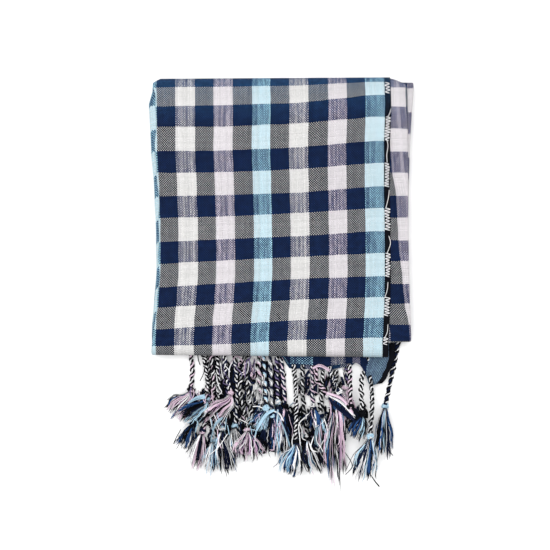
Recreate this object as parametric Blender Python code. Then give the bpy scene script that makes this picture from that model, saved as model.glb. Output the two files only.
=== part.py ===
"""Folded krama scarf: one woven cloth folded to eighteen sheets, and a fringe of corded tassels at each end.

The cloth is folded in three across its width, then in half and in three along its length, so both
of its ends come out under the lower fold. All places are in millimetres on a plan seen from above,
with x to the right and y down. The plan's middle becomes the origin, and heights start at the table.
"""
import math
from collections import namedtuple

import bmesh
import bpy
import numpy as np
from mathutils import Vector

MM = 0.001
PLAN_MIDDLE_X = 281.0
PLAN_MIDDLE_Y = 286.0

# The cloth and its pitch
STRIPE = 18.8
STRIPES = 37
SELVAGE = 5.0
CLOTH_WIDTH = STRIPES * STRIPE + 2 * SELVAGE
SHEET = 1.0
SHEET_GAP = 0.4
PITCH = SHEET + SHEET_GAP
PACK_PITCH = 3 * PITCH

# The fold across the width, seen along the length
LEFT_FOLD_X = 153.5
RIGHT_FOLD_X = 407.5
SELVAGE_X = 389.5
LEFT_RADIUS = PITCH
RIGHT_RADIUS = PITCH / 2
LEFT_TURN_X = LEFT_FOLD_X + LEFT_RADIUS
RIGHT_TURN_X = RIGHT_FOLD_X - RIGHT_RADIUS
TOP_END_U = SELVAGE_X - LEFT_TURN_X
UNDER_START_U = TOP_END_U + math.pi * LEFT_RADIUS
UNDER_END_U = UNDER_START_U + RIGHT_TURN_X - LEFT_TURN_X
INNER_START_U = UNDER_END_U + math.pi * RIGHT_RADIUS

# The loft of the pack's middle, and how far in from the edges it starts
LOFT = 0.05
LOFT_MARGIN_X = 75.0
LOFT_MARGIN_Y = 75.0
LOFT_TOP_Y = 88.0
LOFT_BOTTOM_Y = 348.0
LOWEST_MIDDLE = SHEET / 2

# The inner panels are drawn up at the right of the lower outer fold
DRAWN_UP = 14.0
DRAWN_UP_FROM_X = 290.0

# The loose corner of the upper end: a flap past the lower fold, which swings left and droops
FLAP_LENGTH = 28.0
FLAP_FULL_U = 12.0
FLAP_NONE_U = 46.0
FLAP_SWING_U = 60.0
FLAP_DROOP_Y = 360.0
FLAP_DROOP = 3.4
FLAP_REACH_Y = 388.0

# Strips that carry the cords
STRIP_GAP = 0.45
STRIP_DEPTH = 3.0
ROOT_HALF = 2.1

# Cords, knots and tassels
CORD_HALF = 2.1
PLY_SWELL = 0.35
CORD_HEIGHT = 2.8
CORD_STEP = 5.0
TOP_NARROWING = 0.72
KNOT_HALF = 2.8
KNOT_HEIGHT = 3.4
KNOT_LENGTH = 5.5
LOCK_HALF = 1.1
LOCK_HEIGHT = 2.2
LOCK_TIP_HALF = 0.6
LOCK_TIP_HEIGHT = 0.9
LOCK_STEPS = 4
LOCK_OUT = 1.2
LOCK_BEND_OUT = 1.7
LOCK_BEND_ALONG = 3.4
TASSEL_HALF = KNOT_HALF + LOCK_BEND_OUT + LOCK_HALF
CLEARANCE = 0.35
DRAPE_SLOPE = 0.42
PROBE_STEP = 1.2

# The share of its full length that each lock of a tassel has
TASSEL_LOCKS = ((-1, 0.86), (0, 1.0), (1, 0.92))

Edge = namedtuple("Edge", "y left right")
LEAN = (
    # how far the left fold and the selvage lean to the right at each height of the plan
    Edge(77.0, 0.0, 1.5),
    Edge(105.0, 0.0, 2.0),
    Edge(150.0, 0.0, 0.4),
    Edge(190.0, 2.0, 0.0),
    Edge(230.0, 3.0, 0.2),
    Edge(270.0, 3.0, 0.0),
    Edge(300.0, 0.8, -0.8),
    Edge(320.0, -1.6, -2.0),
    Edge(345.0, -2.5, -4.0),
    Edge(360.0, -2.5, -4.0),
)

Swing = namedtuple("Swing", "y shift")
FLAP_SWING = (
    Swing(250.0, 0.0),
    Swing(300.0, 3.0),
    Swing(341.0, 7.0),
    Swing(358.0, 4.0),
    Swing(366.0, 0.0),
    Swing(375.0, -5.0),
    Swing(388.0, -13.0),
)

Hem = namedtuple("Hem", "x lower upper")
HEMS = (
    # how far down each end of the cloth reaches, the lower end and the upper one
    Hem(150.0, 350.0, 348.0),
    Hem(270.0, 353.0, 350.0),
    Hem(284.0, 357.0, 353.0),
    Hem(294.0, 369.0, 364.0),
    Hem(330.0, 370.0, 366.0),
    Hem(350.0, 367.0, 364.0),
    Hem(364.0, 357.0, 357.0),
    Hem(380.0, 350.0, 354.0),
    Hem(391.0, 346.0, 352.0),
    Hem(402.0, 336.0, 337.0),
    Hem(415.0, 336.0, 336.0),
)

Station = namedtuple("Station", "name side low high outward y_left y_right left right")
STATIONS = (
    # the cloth's way through the pack: an end, five folds and the other end
    # side is -1 at the top of the plan and 1 at its bottom, low and high are the layers joined,
    # outward is 1 where the top panel faces out of the fold, left and right shift the two edges
    Station("lower_end", 1, 1, 1, 1, 0.0, 0.0, 21.0, 2.0),
    Station("outer_top_fold", -1, 1, 6, 1, 91.0, 89.4, -0.5, -1.0),
    Station("outer_bottom_fold", 1, 3, 6, 1, 346.8, 349.2, 1.0, 3.0),
    Station("halfway_fold", -1, 3, 4, 1, 94.0, 92.6, 2.0, -2.0),
    Station("inner_bottom_fold", 1, 4, 5, -1, 345.6, 333.6, 3.0, -1.5),
    Station("inner_top_fold", -1, 2, 5, -1, 92.0, 90.6, -5.0, 5.5),
    Station("upper_end", 1, 2, 2, 1, 0.0, 0.0, 23.0, 1.0),
)

RUN_STEPS = {
    # share of the way along each layer, closer together where the layer bends
    1: (0.0, 0.05, 0.12, 0.36, 0.64, 0.88, 1.0),
    6: (0.0, 0.12, 0.36, 0.64, 0.88, 1.0),
    3: (0.0, 0.12, 0.36, 0.64, 0.88, 1.0),
    4: (0.0, 0.12, 0.36, 0.64, 0.88, 1.0),
    5: (0.0, 0.12, 0.36, 0.64, 0.88, 1.0),
    2: (0.0, 0.12, 0.36, 0.64, 0.82, 0.88, 0.93, 0.965, 1.0),
}
TURN_STEPS = {
    "outer_top_fold": 8,
    "outer_bottom_fold": 7,
    "halfway_fold": 4,
    "inner_bottom_fold": 4,
    "inner_top_fold": 6,
}
PANEL_LINES = (190.0, 230.0, 290.0, 320.0, 350.0, 380.0)
CORNER_LINES = (365.0, 376.5, 384.5)
LEFT_STEPS = 6
RIGHT_STEPS = 4

Cord = namedtuple("Cord", "panel root bend_x bend_y knot_x knot_y tip_x tip_y fan")
LOWER_CORDS = (
    Cord("under", 208.5, 209, 385, 194, 422, 183, 453, 5),
    Cord("top", 214.0, 213, 390, 203, 430, 194, 474, 4),
    Cord("inner", 219.5, 218, 395, 214, 438, 211, 477, 4),
    Cord("under", 225.0, 228, 396, 223, 427, 229, 478, 6),
    Cord("inner", 236.0, 237, 390, 235, 424, 239, 457, 5),
    Cord("top", 246.0, 248, 392, 254, 433, 257, 453, 5),
    Cord("under", 260.0, 259, 380, 261, 400, 264, 424, 5),
    Cord("inner", 271.0, 271, 388, 272, 413, 271, 446, 5),
    Cord("top", 284.0, 283, 380, 285, 404, 289, 446, 5),
    Cord("inner", 324.0, 322, 386, 321, 413, 328, 474, 5),
    Cord("under", 337.0, 336, 382, 336.5, 405, 340, 440, 4),
    Cord("top", 349.0, 348, 372, 346, 386, 350, 430, 5),
)
UPPER_CORDS = (
    Cord("under", 192.0, 192, 370, 190.5, 388, 169, 420, 6),
    Cord("top", 205.0, 207, 377, 207, 396, 182, 424, 6),
    Cord("inner", 226.0, 226, 376, 230, 391, 204, 427, 6),
    Cord("inner", 253.0, 240, 384, 247, 427, 248, 464, 8),
    Cord("top", 266.0, 265, 382, 266, 405, 256, 430, 5),
    Cord("under", 278.0, 277, 380, 278, 400, 280, 460, 5),
    Cord("top", 297.0, 296, 398, 295.5, 440, 287, 479, 6),
    Cord("inner", 303.5, 303, 397, 307, 436, 319, 476, 6),
    Cord("under", 313.0, 312, 386, 313, 405, 312, 430, 5),
    Cord("top", 320.0, 317, 381, 327, 394, 337, 493, 6),
    Cord("inner", 330.0, 332, 376, 338, 389, 344, 414, 4),
    Cord("under", 350.0, 350, 385, 350, 403, 355, 421, 4),
    Cord("top", 366.0, 361, 385, 362, 411, 353, 441, 5),
    Cord("inner", 368.0, 372, 395, 370, 433, 361, 485, 6),
    Cord("under", 399.0, 398, 367, 387, 404, 383, 463, 5),
)


def smooth(share):
    """Ease a share between 0 and 1."""
    share = min(1.0, max(0.0, share))
    return share * share * (3.0 - 2.0 * share)


def read(rows, key, value, at):
    """Read a column of a table between its rows, eased from one row to the next."""
    if at <= getattr(rows[0], key):
        return getattr(rows[0], value)
    for above, below in zip(rows, rows[1:]):
        start = getattr(above, key)
        end = getattr(below, key)
        if at <= end:
            share = smooth((at - start) / (end - start))
            return getattr(above, value) * (1 - share) + getattr(below, value) * share
    return getattr(rows[-1], value)


def on_plan(x, y, z):
    """Turn a place on the plan into the part's own frame."""
    return Vector(((x - PLAN_MIDDLE_X) * MM, (PLAN_MIDDLE_Y - y) * MM, z * MM))


def layer_height(layer):
    """Height of the middle of a layer, counted from the table."""
    return SHEET / 2 + PITCH + (layer - 1) * PACK_PITCH


def section(u):
    """Place across the pack, and height from its middle, of a point u along the cloth's width."""
    if u <= TOP_END_U:
        return SELVAGE_X - u, PITCH
    if u < UNDER_START_U:
        angle = math.pi / 2 + (u - TOP_END_U) / LEFT_RADIUS
        return LEFT_TURN_X + LEFT_RADIUS * math.cos(angle), LEFT_RADIUS * math.sin(angle)
    if u <= UNDER_END_U:
        return LEFT_TURN_X + u - UNDER_START_U, -PITCH
    if u < INNER_START_U:
        angle = (u - UNDER_END_U) / RIGHT_RADIUS - math.pi / 2
        height = RIGHT_RADIUS * math.sin(angle) - RIGHT_RADIUS
        return RIGHT_TURN_X + RIGHT_RADIUS * math.cos(angle), height
    return RIGHT_TURN_X - (u - INNER_START_U), 0.0


def share_across(u):
    """Share of the way from the left fold to the right one."""
    return (section(u)[0] - LEFT_FOLD_X) / (RIGHT_FOLD_X - LEFT_FOLD_X)


def drawn_up(u):
    """How far the lower panels stop short of the top one at the lower outer fold."""
    if u <= TOP_END_U:
        return 0.0
    return DRAWN_UP * smooth((section(u)[0] - DRAWN_UP_FROM_X) / (RIGHT_FOLD_X - DRAWN_UP_FROM_X))


def flap_share(u, full, none):
    """1 at the loose corner's selvage, falling to 0 further along the width."""
    return smooth((none - u) / (none - full))


def station_y(station, u, x):
    """Height on the plan of a fold's axis, or of an end of the cloth."""
    if station.name == "lower_end":
        return read(HEMS, "x", "lower", x)
    if station.name == "upper_end":
        return read(HEMS, "x", "upper", x) + FLAP_LENGTH * flap_share(u, FLAP_FULL_U, FLAP_NONE_U)
    share = share_across(u)
    y = station.y_left * (1 - share) + station.y_right * share
    if station.name == "outer_bottom_fold":
        y -= drawn_up(u)
    return y


def loft(x, y):
    """How much higher the pack stands at a place on the plan."""
    left = smooth((x - LEFT_FOLD_X) / LOFT_MARGIN_X)
    right = smooth((RIGHT_FOLD_X - x) / LOFT_MARGIN_X)
    top = smooth((y - LOFT_TOP_Y) / LOFT_MARGIN_Y)
    bottom = smooth((LOFT_BOTTOM_Y - y) / LOFT_MARGIN_Y)
    ripple = 0.85 + 0.15 * math.sin(x / 31.0 + y / 57.0)
    return LOFT * left * right * top * bottom * ripple


def finish_point(u, x, y, z, layer):
    """Lean, swing, droop and loft a point of the cloth, and place it in the part's frame."""
    share = share_across(u)
    x += read(LEAN, "y", "left", y) * (1 - share)
    if u <= TOP_END_U:
        x += read(LEAN, "y", "right", y) * (1 - u / TOP_END_U)
    if layer == 2:
        x += read(FLAP_SWING, "y", "shift", y) * flap_share(u, 0.0, FLAP_SWING_U)
        droop = FLAP_DROOP * smooth((y - FLAP_DROOP_Y) / (FLAP_REACH_Y - FLAP_DROOP_Y))
        z -= droop * flap_share(u, FLAP_FULL_U, FLAP_NONE_U)
    z = LOWEST_MIDDLE + (z - LOWEST_MIDDLE) * (1 + loft(x, y))
    return on_plan(x, y, z)


def edge_x(u, left_shift, right_shift):
    """Place across the pack with its two edges shifted."""
    share = share_across(u)
    return section(u)[0] + left_shift * (1 - share) + right_shift * share


def run_point(u, layer, start, end, along):
    """A point of a flat layer, a share of the way from one station to the next."""
    left = start.left * (1 - along) ** 4 + end.left * along ** 4
    right = start.right * (1 - along) ** 4 + end.right * along ** 4
    x = edge_x(u, left, right)
    start_y = station_y(start, u, edge_x(u, start.left, start.right))
    end_y = station_y(end, u, edge_x(u, end.left, end.right))
    y = start_y * (1 - along) + end_y * along
    facing = 1 if layer in (2, 4, 6) else -1
    return finish_point(u, x, y, layer_height(layer) + facing * section(u)[1], layer)


def turn_point(u, station, angle):
    """A point of a fold, at an angle from -90 degrees on its low side to 90 on its high side."""
    radius = (layer_height(station.high) - layer_height(station.low)) / 2
    middle = (layer_height(station.high) + layer_height(station.low)) / 2
    radius += station.outward * section(u)[1]
    x = edge_x(u, station.left, station.right)
    y = station_y(station, u, x) + station.side * radius * math.cos(angle)
    return finish_point(u, x, y, middle + radius * math.sin(angle), station.high)


def fold_columns(start, end, steps):
    """Even places around a fold across the width, with both of its ends."""
    return [start + (end - start) * step / steps for step in range(steps + 1)]


def cloth_columns():
    """The places along the width where the cloth has a line of points, the same lines on each panel."""
    columns = [0.0]
    columns += [SELVAGE_X - x for x in PANEL_LINES[:-1] + CORNER_LINES]
    columns += fold_columns(TOP_END_U, UNDER_START_U, LEFT_STEPS)
    columns += [UNDER_START_U + x - LEFT_TURN_X for x in PANEL_LINES]
    columns += fold_columns(UNDER_END_U, INNER_START_U, RIGHT_STEPS)
    columns += [INNER_START_U + RIGHT_TURN_X - x for x in PANEL_LINES[1:]]
    return sorted(columns + [CLOTH_WIDTH])


def end_point(u, station, past):
    """A point just past an end of the cloth, in line with the cloth's own columns."""
    columns = cloth_columns()
    after = next(i for i, column in enumerate(columns) if column >= u and i)
    facing = 1 if station.low == 2 else -1
    corners = []
    for column in columns[after - 1:after + 1]:
        x = edge_x(column, station.left, station.right)
        y = station_y(station, column, x)
        z = layer_height(station.low) + facing * section(column)[1]
        corners.append(finish_point(column, x, y, z, station.low))
    share = (u - columns[after - 1]) / (columns[after] - columns[after - 1])
    return corners[0].lerp(corners[1], share) - Vector((0, past * MM, 0))


def cloth_rows():
    """The lines of the cloth from one end to the other, as functions of the place along the width."""
    rows = []
    for start, end in zip(STATIONS, STATIONS[1:]):
        layer = ({start.low, start.high} & {end.low, end.high}).pop()
        for along in RUN_STEPS[layer][bool(rows):]:
            rows.append(lambda u, a=along, n=layer, s=start, e=end: run_point(u, n, s, e, a))
        if end.name not in TURN_STEPS:
            continue
        steps = TURN_STEPS[end.name]
        rising = 1 if layer == end.low else -1
        for step in range(1, steps + 1):
            angle = rising * math.pi * (step / steps - 0.5)
            rows.append(lambda u, a=angle, s=end: turn_point(u, s, a))
    return rows


def sheet_object(name, columns, rows):
    """A thin sheet whose points follow the given columns and rows, thickened evenly."""
    mesh = bpy.data.meshes.new(name)
    bm = bmesh.new()
    across = len(columns) - 1
    along = len(rows) - 1
    bmesh.ops.create_grid(bm, x_segments=across, y_segments=along, size=1.0)
    for vert in bm.verts:
        column = round((vert.co.x + 1) / 2 * across)
        row = round((vert.co.y + 1) / 2 * along)
        vert.co = rows[row](columns[column])
    bm.to_mesh(mesh)
    bm.free()
    obj = bpy.data.objects.new(name, mesh)
    bpy.context.scene.collection.objects.link(obj)
    solid = obj.modifiers.new("thickness", "SOLIDIFY")
    solid.thickness = SHEET * MM
    solid.offset = 0.0
    return obj


def root_u(cord, station):
    """Place along the width, on the cord's own panel, that lies at the cord's root."""
    if cord.panel == "top":
        start, end = 0.0, TOP_END_U
    elif cord.panel == "under":
        start, end = UNDER_START_U, UNDER_END_U
    else:
        start, end = INNER_START_U, CLOTH_WIDTH
    places = np.linspace(start + 2 * ROOT_HALF, end - 2 * ROOT_HALF, 800)
    gaps = [abs(edge_x(u, station.left, station.right) - cord.root) for u in places]
    return float(places[int(np.argmin(gaps))])


def strip_columns(station, cords):
    """The places along the width where an end's strip has points: its folds and its cords' roots."""
    columns = cloth_columns()
    for cord in cords:
        u = root_u(cord, station)
        columns = [old for old in columns if abs(old - u) > 1.4 * ROOT_HALF]
        columns += [u - ROOT_HALF, u + ROOT_HALF]
    return sorted(columns)


def smooth_path(points, step):
    """Even points, about a step apart, on a smooth curve through the given ones."""
    knots = np.array([(p[0], p[1]) for p in points], float)
    padded = np.vstack([2 * knots[0] - knots[1], knots, 2 * knots[-1] - knots[-2]])
    curve = []
    for i in range(len(knots) - 1):
        a, b, c, d = padded[i:i + 4]
        for t in np.linspace(0, 1, 24, endpoint=False):
            curve.append(0.5 * (2 * b + (c - a) * t + (2 * a - 5 * b + 4 * c - d) * t ** 2
                                + (3 * b - a - 3 * c + d) * t ** 3))
    curve.append(knots[-1])
    curve = np.array(curve)
    lengths = np.concatenate([[0], np.cumsum(np.linalg.norm(np.diff(curve, axis=0), axis=1))])
    count = max(2, round(lengths[-1] / step) + 1)
    places = np.linspace(0, lengths[-1], count)
    return np.column_stack([np.interp(places, lengths, curve[:, axis]) for axis in (0, 1)])


def directions(path):
    """Unit direction of a path at each of its points."""
    steps = np.gradient(path, axis=0)
    return steps / np.linalg.norm(steps, axis=1)[:, None]


class Pile:
    """What already lies on the table, as small round spots with a height, so the next strand lies over it."""

    def __init__(self):
        self.spots = []

    def add(self, path, halves, tops):
        """Remember a strand or an edge that lies along a path."""
        for i in range(len(path) - 1):
            length = np.linalg.norm(path[i + 1] - path[i])
            for share in np.linspace(0, 1, max(2, int(length / PROBE_STEP))):
                place = path[i] * (1 - share) + path[i + 1] * share
                half = halves[i] * (1 - share) + halves[i + 1] * share
                self.spots.append((place[0], place[1], half, max(tops[i], tops[i + 1])))

    def height(self, place, half):
        """The lowest height at which a strand clears all that lies under one place."""
        if not self.spots:
            return 0.0
        spots = np.array(self.spots)
        near = np.hypot(spots[:, 0] - place[0], spots[:, 1] - place[1]) < spots[:, 2] + half + CLEARANCE
        return float(spots[near, 3].max() + CLEARANCE) if near.any() else 0.0

    def drape(self, path, halves, start):
        """Heights of a strand's underside: from its start it sinks to the table or to what lies under it."""
        lengths = np.concatenate([[0], np.cumsum(np.linalg.norm(np.diff(path, axis=0), axis=1))])
        places = np.arange(0, lengths[-1] + PROBE_STEP, PROBE_STEP)
        xs = np.interp(places, lengths, path[:, 0])
        ys = np.interp(places, lengths, path[:, 1])
        widths = np.interp(places, lengths, halves)
        needed = np.array([self.height(p, w) for p, w in zip(zip(xs, ys), widths)])
        heights = []
        for i, length in enumerate(lengths):
            before = lengths[max(i - 1, 0)]
            after = lengths[min(i + 1, len(lengths) - 1)]
            reach = np.where(places < before, before - places, np.where(places > after, places - after, 0))
            heights.append(max(0.0, (needed - DRAPE_SLOPE * reach).max(), start - DRAPE_SLOPE * length))
        heights[0] = start
        return np.array(heights)


def grow(bm, face, path, ways, halves, heights, bases):
    """Extrude a four-sided face along a path, one ring at each of its points, and return the last face."""
    normal = face.normal.copy()
    right = Vector((normal.y, -normal.x, 0)).normalized()
    middle = face.calc_center_median()
    signs = [((vert.co - middle).dot(right) > 0, vert.co.z > middle.z) for vert in face.verts]
    for place, way, sides, height, base in zip(path, ways, halves, heights, bases):
        # the way's y runs down the plan, so its right-hand side turns with it
        side = np.array([-way[1], way[0]])
        face = bmesh.ops.extrude_discrete_faces(bm, faces=[face])["faces"][0]
        for vert, (is_right, is_top) in zip(face.verts, signs):
            half = sides[0] if is_right else -sides[1]
            half *= TOP_NARROWING if is_top else 1.0
            spot = place + side * half
            vert.co = on_plan(spot[0], spot[1], base + (height if is_top else 0.0))
    return face


def nearest_face(bm, place, facing):
    """The face that looks a given way and lies nearest to a place."""
    bm.normal_update()
    faces = [face for face in bm.faces if face.normal.dot(facing) > 0.6]
    return min(faces, key=lambda face: (face.calc_center_median() - place).length)


def lay_cord(bm, pile, root, start, cord):
    """Grow a cord and its knot from the strip, and return the knot's end face, place, way and height."""
    points = [start[:2], (cord.bend_x, cord.bend_y), (cord.knot_x, cord.knot_y)]
    run = smooth_path(points, CORD_STEP)
    way = directions(run)[-1]
    knot = [run[-1] + way * KNOT_LENGTH * share for share in (0.3, 0.75, 1.0)]
    whole = np.vstack([run, knot])
    count = len(run) - 1
    plies = np.array([PLY_SWELL * (-1) ** step for step in range(count)] + [0.0] * 3)
    widths = np.array([CORD_HALF] * count + [KNOT_HALF] * 3)
    tall = np.array([0.7 * CORD_HEIGHT] + [CORD_HEIGHT] * (count - 1) + [KNOT_HEIGHT] * 2 + [LOCK_HEIGHT])
    reach = np.concatenate([[CORD_HALF + PLY_SWELL] * count, [TASSEL_HALF] * 4])
    beyond = np.vstack([whole, whole[-1] + way * LOCK_BEND_ALONG])
    bases = pile.drape(beyond, np.append(reach, TASSEL_HALF), start[2])
    bases[-4:] = bases[-4:].max()
    bases = bases[:-1]
    sides = np.column_stack([widths + plies, widths - plies])
    end = grow(bm, root, whole[1:], directions(whole)[1:], sides, tall, bases[1:])
    tops = bases + np.concatenate([[SHEET], tall])
    reach[-4:] = KNOT_HALF
    return end, (whole, reach, tops), whole[-1], way, bases[-1]


def lay_lock(bm, pile, face, knot, way, base, cord, lock, stretch):
    """Grow one lock of a tassel: 0 is the middle one, -1 and 1 spring from the knot's flanks."""
    side = np.array([-way[1], way[0]]) * lock
    tip_way = np.array([cord.tip_x, cord.tip_y]) - knot
    fan = np.array([-tip_way[1], tip_way[0]]) / np.linalg.norm(tip_way)
    tip = knot + tip_way * stretch + fan * cord.fan * lock
    if lock:
        start = knot + side * (KNOT_HALF + LOCK_OUT)
        bend = knot + side * (KNOT_HALF + LOCK_BEND_OUT) + way * LOCK_BEND_ALONG
    else:
        start = knot + way * LOCK_OUT
        bend = knot + way * LOCK_BEND_ALONG
    bow = bend * 0.5 + tip * 0.5 + side * 1.5 + way
    tail = smooth_path([bend, bow, tip], np.linalg.norm(tip - bend) / LOCK_STEPS)
    path = np.vstack([start, tail])
    ways = directions(path)
    ways[0] = (side + way) / np.linalg.norm(side + way)
    shares = np.linspace(0, 1, len(path))
    half = LOCK_HALF + (LOCK_TIP_HALF - LOCK_HALF) * shares
    high = LOCK_HEIGHT + (LOCK_TIP_HEIGHT - LOCK_HEIGHT) * shares
    low = pile.drape(path, half, base)
    grow(bm, face, path, ways, np.column_stack([half, half]), high, low)
    return path, half, low + high


def grow_cord(bm, pile, station, cord):
    """One cord with its knot, and its tassel of three locks, grown from the strip's edge."""
    front = end_point(root_u(cord, station), station, STRIP_GAP + STRIP_DEPTH)
    root = nearest_face(bm, front, Vector((0, -1, 0)))
    start = (front.x / MM + PLAN_MIDDLE_X, PLAN_MIDDLE_Y - front.y / MM, front.z / MM - SHEET / 2)
    before = set(bm.verts)
    end, cord_spots, knot, way, base = lay_cord(bm, pile, root, start, cord)
    bm.normal_update()
    spots = [cord_spots]
    new = [face for face in bm.faces if not before.intersection(face.verts) and face is not end]
    for lock, stretch in TASSEL_LOCKS:
        if lock:
            look = Vector((-way[1] * lock, -way[0] * lock, 0))
            flanks = [face for face in new if face.is_valid and face.normal.dot(look) > 0.5]
            knot_side = on_plan(*knot, base + LOCK_HEIGHT / 2)
            face = min(flanks, key=lambda flank: (flank.calc_center_median() - knot_side).length)
        else:
            face = end
        spots.append(lay_lock(bm, pile, face, knot, way, base, cord, lock, stretch))
    for path, halves, tops in spots:
        pile.add(path, halves, tops)


def fringe_object(name, station, cords, pile):
    """One end's fringe: a narrow strip along the hem and the cords that grow from it."""
    columns = strip_columns(station, cords)
    edges = (STRIP_GAP, STRIP_GAP + STRIP_DEPTH)
    rows = [lambda u, past=past: end_point(u, station, past) for past in edges]
    obj = sheet_object(name, columns, rows)
    solid = obj.evaluated_get(bpy.context.evaluated_depsgraph_get())
    bm = bmesh.new()
    bm.from_mesh(solid.to_mesh())
    for cord in cords:
        grow_cord(bm, pile, station, cord)
    front = [end_point(u, station, STRIP_GAP + STRIP_DEPTH / 2) for u in columns]
    edge = np.array([(p.x / MM + PLAN_MIDDLE_X, PLAN_MIDDLE_Y - p.y / MM) for p in front])
    tops = np.array([p.z / MM + SHEET / 2 for p in front])
    pile.add(edge, np.full(len(edge), STRIP_DEPTH / 2), tops)
    obj.modifiers.clear()
    bmesh.ops.recalc_face_normals(bm, faces=bm.faces)
    bm.to_mesh(obj.data)
    bm.free()
    return obj


def give_material(obj, name, colour, roughness):
    """Give an object its own plain cloth or yarn material."""
    material = bpy.data.materials.new(name)
    material.use_nodes = True
    shader = material.node_tree.nodes["Principled BSDF"]
    shader.inputs["Base Color"].default_value = (*colour, 1.0)
    shader.inputs["Roughness"].default_value = roughness
    shader.inputs["Metallic"].default_value = 0.0
    material.diffuse_color = (*colour, 1.0)
    obj.data.materials.clear()
    obj.data.materials.append(material)


def build():
    """Clear the scene and model the scarf."""
    for old in list(bpy.data.objects):
        bpy.data.objects.remove(old, do_unlink=True)
    cloth = sheet_object("krama_cloth", cloth_columns(), cloth_rows())
    give_material(cloth, "checked_cotton", (0.19, 0.22, 0.30), 0.9)
    pile = Pile()
    lower = fringe_object("fringe_lower", STATIONS[0], LOWER_CORDS, pile)
    give_material(lower, "lower_yarn", (0.05, 0.07, 0.13), 0.9)
    upper = fringe_object("fringe_upper", STATIONS[-1], UPPER_CORDS, pile)
    give_material(upper, "upper_yarn", (0.20, 0.26, 0.36), 0.9)


build()
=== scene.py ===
"""The looks of a folded krama scarf: its check weave, its selvage threads and its fringe of corded tassels.

Places are in millimetres on a plan seen from above, with x to the right and y down, as in the part's
own construction. The plan's middle is the origin, and heights start at the table.
"""

import math
import random
from collections import namedtuple

import bmesh
import bpy
import numpy as np
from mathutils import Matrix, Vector


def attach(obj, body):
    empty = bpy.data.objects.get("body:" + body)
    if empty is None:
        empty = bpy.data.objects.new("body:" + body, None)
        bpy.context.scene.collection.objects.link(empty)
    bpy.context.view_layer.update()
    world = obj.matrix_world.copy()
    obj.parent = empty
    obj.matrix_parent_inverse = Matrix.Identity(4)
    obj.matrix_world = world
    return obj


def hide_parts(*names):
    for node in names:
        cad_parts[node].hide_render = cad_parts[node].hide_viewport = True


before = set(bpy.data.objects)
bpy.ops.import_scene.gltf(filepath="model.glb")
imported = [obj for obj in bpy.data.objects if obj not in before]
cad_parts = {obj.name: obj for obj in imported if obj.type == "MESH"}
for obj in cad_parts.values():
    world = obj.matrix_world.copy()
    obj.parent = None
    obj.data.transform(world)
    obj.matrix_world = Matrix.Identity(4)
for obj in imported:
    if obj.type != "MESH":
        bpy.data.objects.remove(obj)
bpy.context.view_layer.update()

MM = 0.001
PLAN_MIDDLE_X = 281.0
PLAN_MIDDLE_Y = 286.0

# The cloth and its pitch
STRIPE = 18.8
STRIPES = 37
SELVAGE = 5.0
CLOTH_WIDTH = STRIPES * STRIPE + 2 * SELVAGE
SHEET = 1.0
SHEET_GAP = 0.4
PITCH = SHEET + SHEET_GAP
PACK_PITCH = 3 * PITCH
CLOTH_THICKNESS = 0.8

# The fold across the width, seen along the length
LEFT_FOLD_X = 153.5
RIGHT_FOLD_X = 407.5
SELVAGE_X = 389.5
LEFT_RADIUS = PITCH
RIGHT_RADIUS = PITCH / 2
LEFT_TURN_X = LEFT_FOLD_X + LEFT_RADIUS
RIGHT_TURN_X = RIGHT_FOLD_X - RIGHT_RADIUS
TOP_END_U = SELVAGE_X - LEFT_TURN_X
UNDER_START_U = TOP_END_U + math.pi * LEFT_RADIUS
UNDER_END_U = UNDER_START_U + RIGHT_TURN_X - LEFT_TURN_X
INNER_START_U = UNDER_END_U + math.pi * RIGHT_RADIUS

# The drawn-up right of the lower fold, and the loose corner of the upper end
DRAWN_UP = 14.0
DRAWN_UP_FROM_X = 290.0
FLAP_LENGTH = 32.0
FLAP_FULL_U = 10.0
FLAP_NONE_U = 44.0
FLAP_SWING_U = 60.0
FLAP_DROOP_Y = 360.0
FLAP_DROOP = 3.4
FLAP_REACH_Y = 388.0
SHIFT_EASE = 4

Edge = namedtuple("Edge", "y left right")
LEAN = (
    # how far the left fold and the selvage lean to the right at each height of the plan
    Edge(77.0, 0.0, 1.5),
    Edge(105.0, 0.0, 2.0),
    Edge(150.0, 0.0, 0.4),
    Edge(190.0, 2.0, 0.0),
    Edge(230.0, 3.0, 0.2),
    Edge(270.0, 3.0, 0.0),
    Edge(300.0, 0.8, -0.8),
    Edge(320.0, -1.6, -2.0),
    Edge(345.0, -2.5, -4.0),
    Edge(360.0, -2.5, -4.0),
)

Swing = namedtuple("Swing", "y shift")
FLAP_SWING = (
    Swing(250.0, 0.0),
    Swing(300.0, 3.0),
    Swing(341.0, 8.5),
    Swing(358.0, 8.0),
    Swing(366.0, 5.0),
    Swing(375.0, 0.5),
    Swing(388.0, -7.5),
)

Hem = namedtuple("Hem", "x lower upper")
HEMS = (
    # how far down each end of the cloth reaches, the lower end and the upper one
    Hem(150.0, 350.0, 348.0),
    Hem(270.0, 353.0, 350.0),
    Hem(284.0, 357.0, 353.0),
    Hem(294.0, 369.0, 364.0),
    Hem(330.0, 370.0, 366.0),
    Hem(350.0, 367.0, 364.0),
    Hem(364.0, 357.0, 357.0),
    Hem(380.0, 350.0, 354.0),
    Hem(391.0, 346.0, 352.0),
    Hem(402.0, 336.0, 337.0),
    Hem(415.0, 336.0, 336.0),
)

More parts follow.
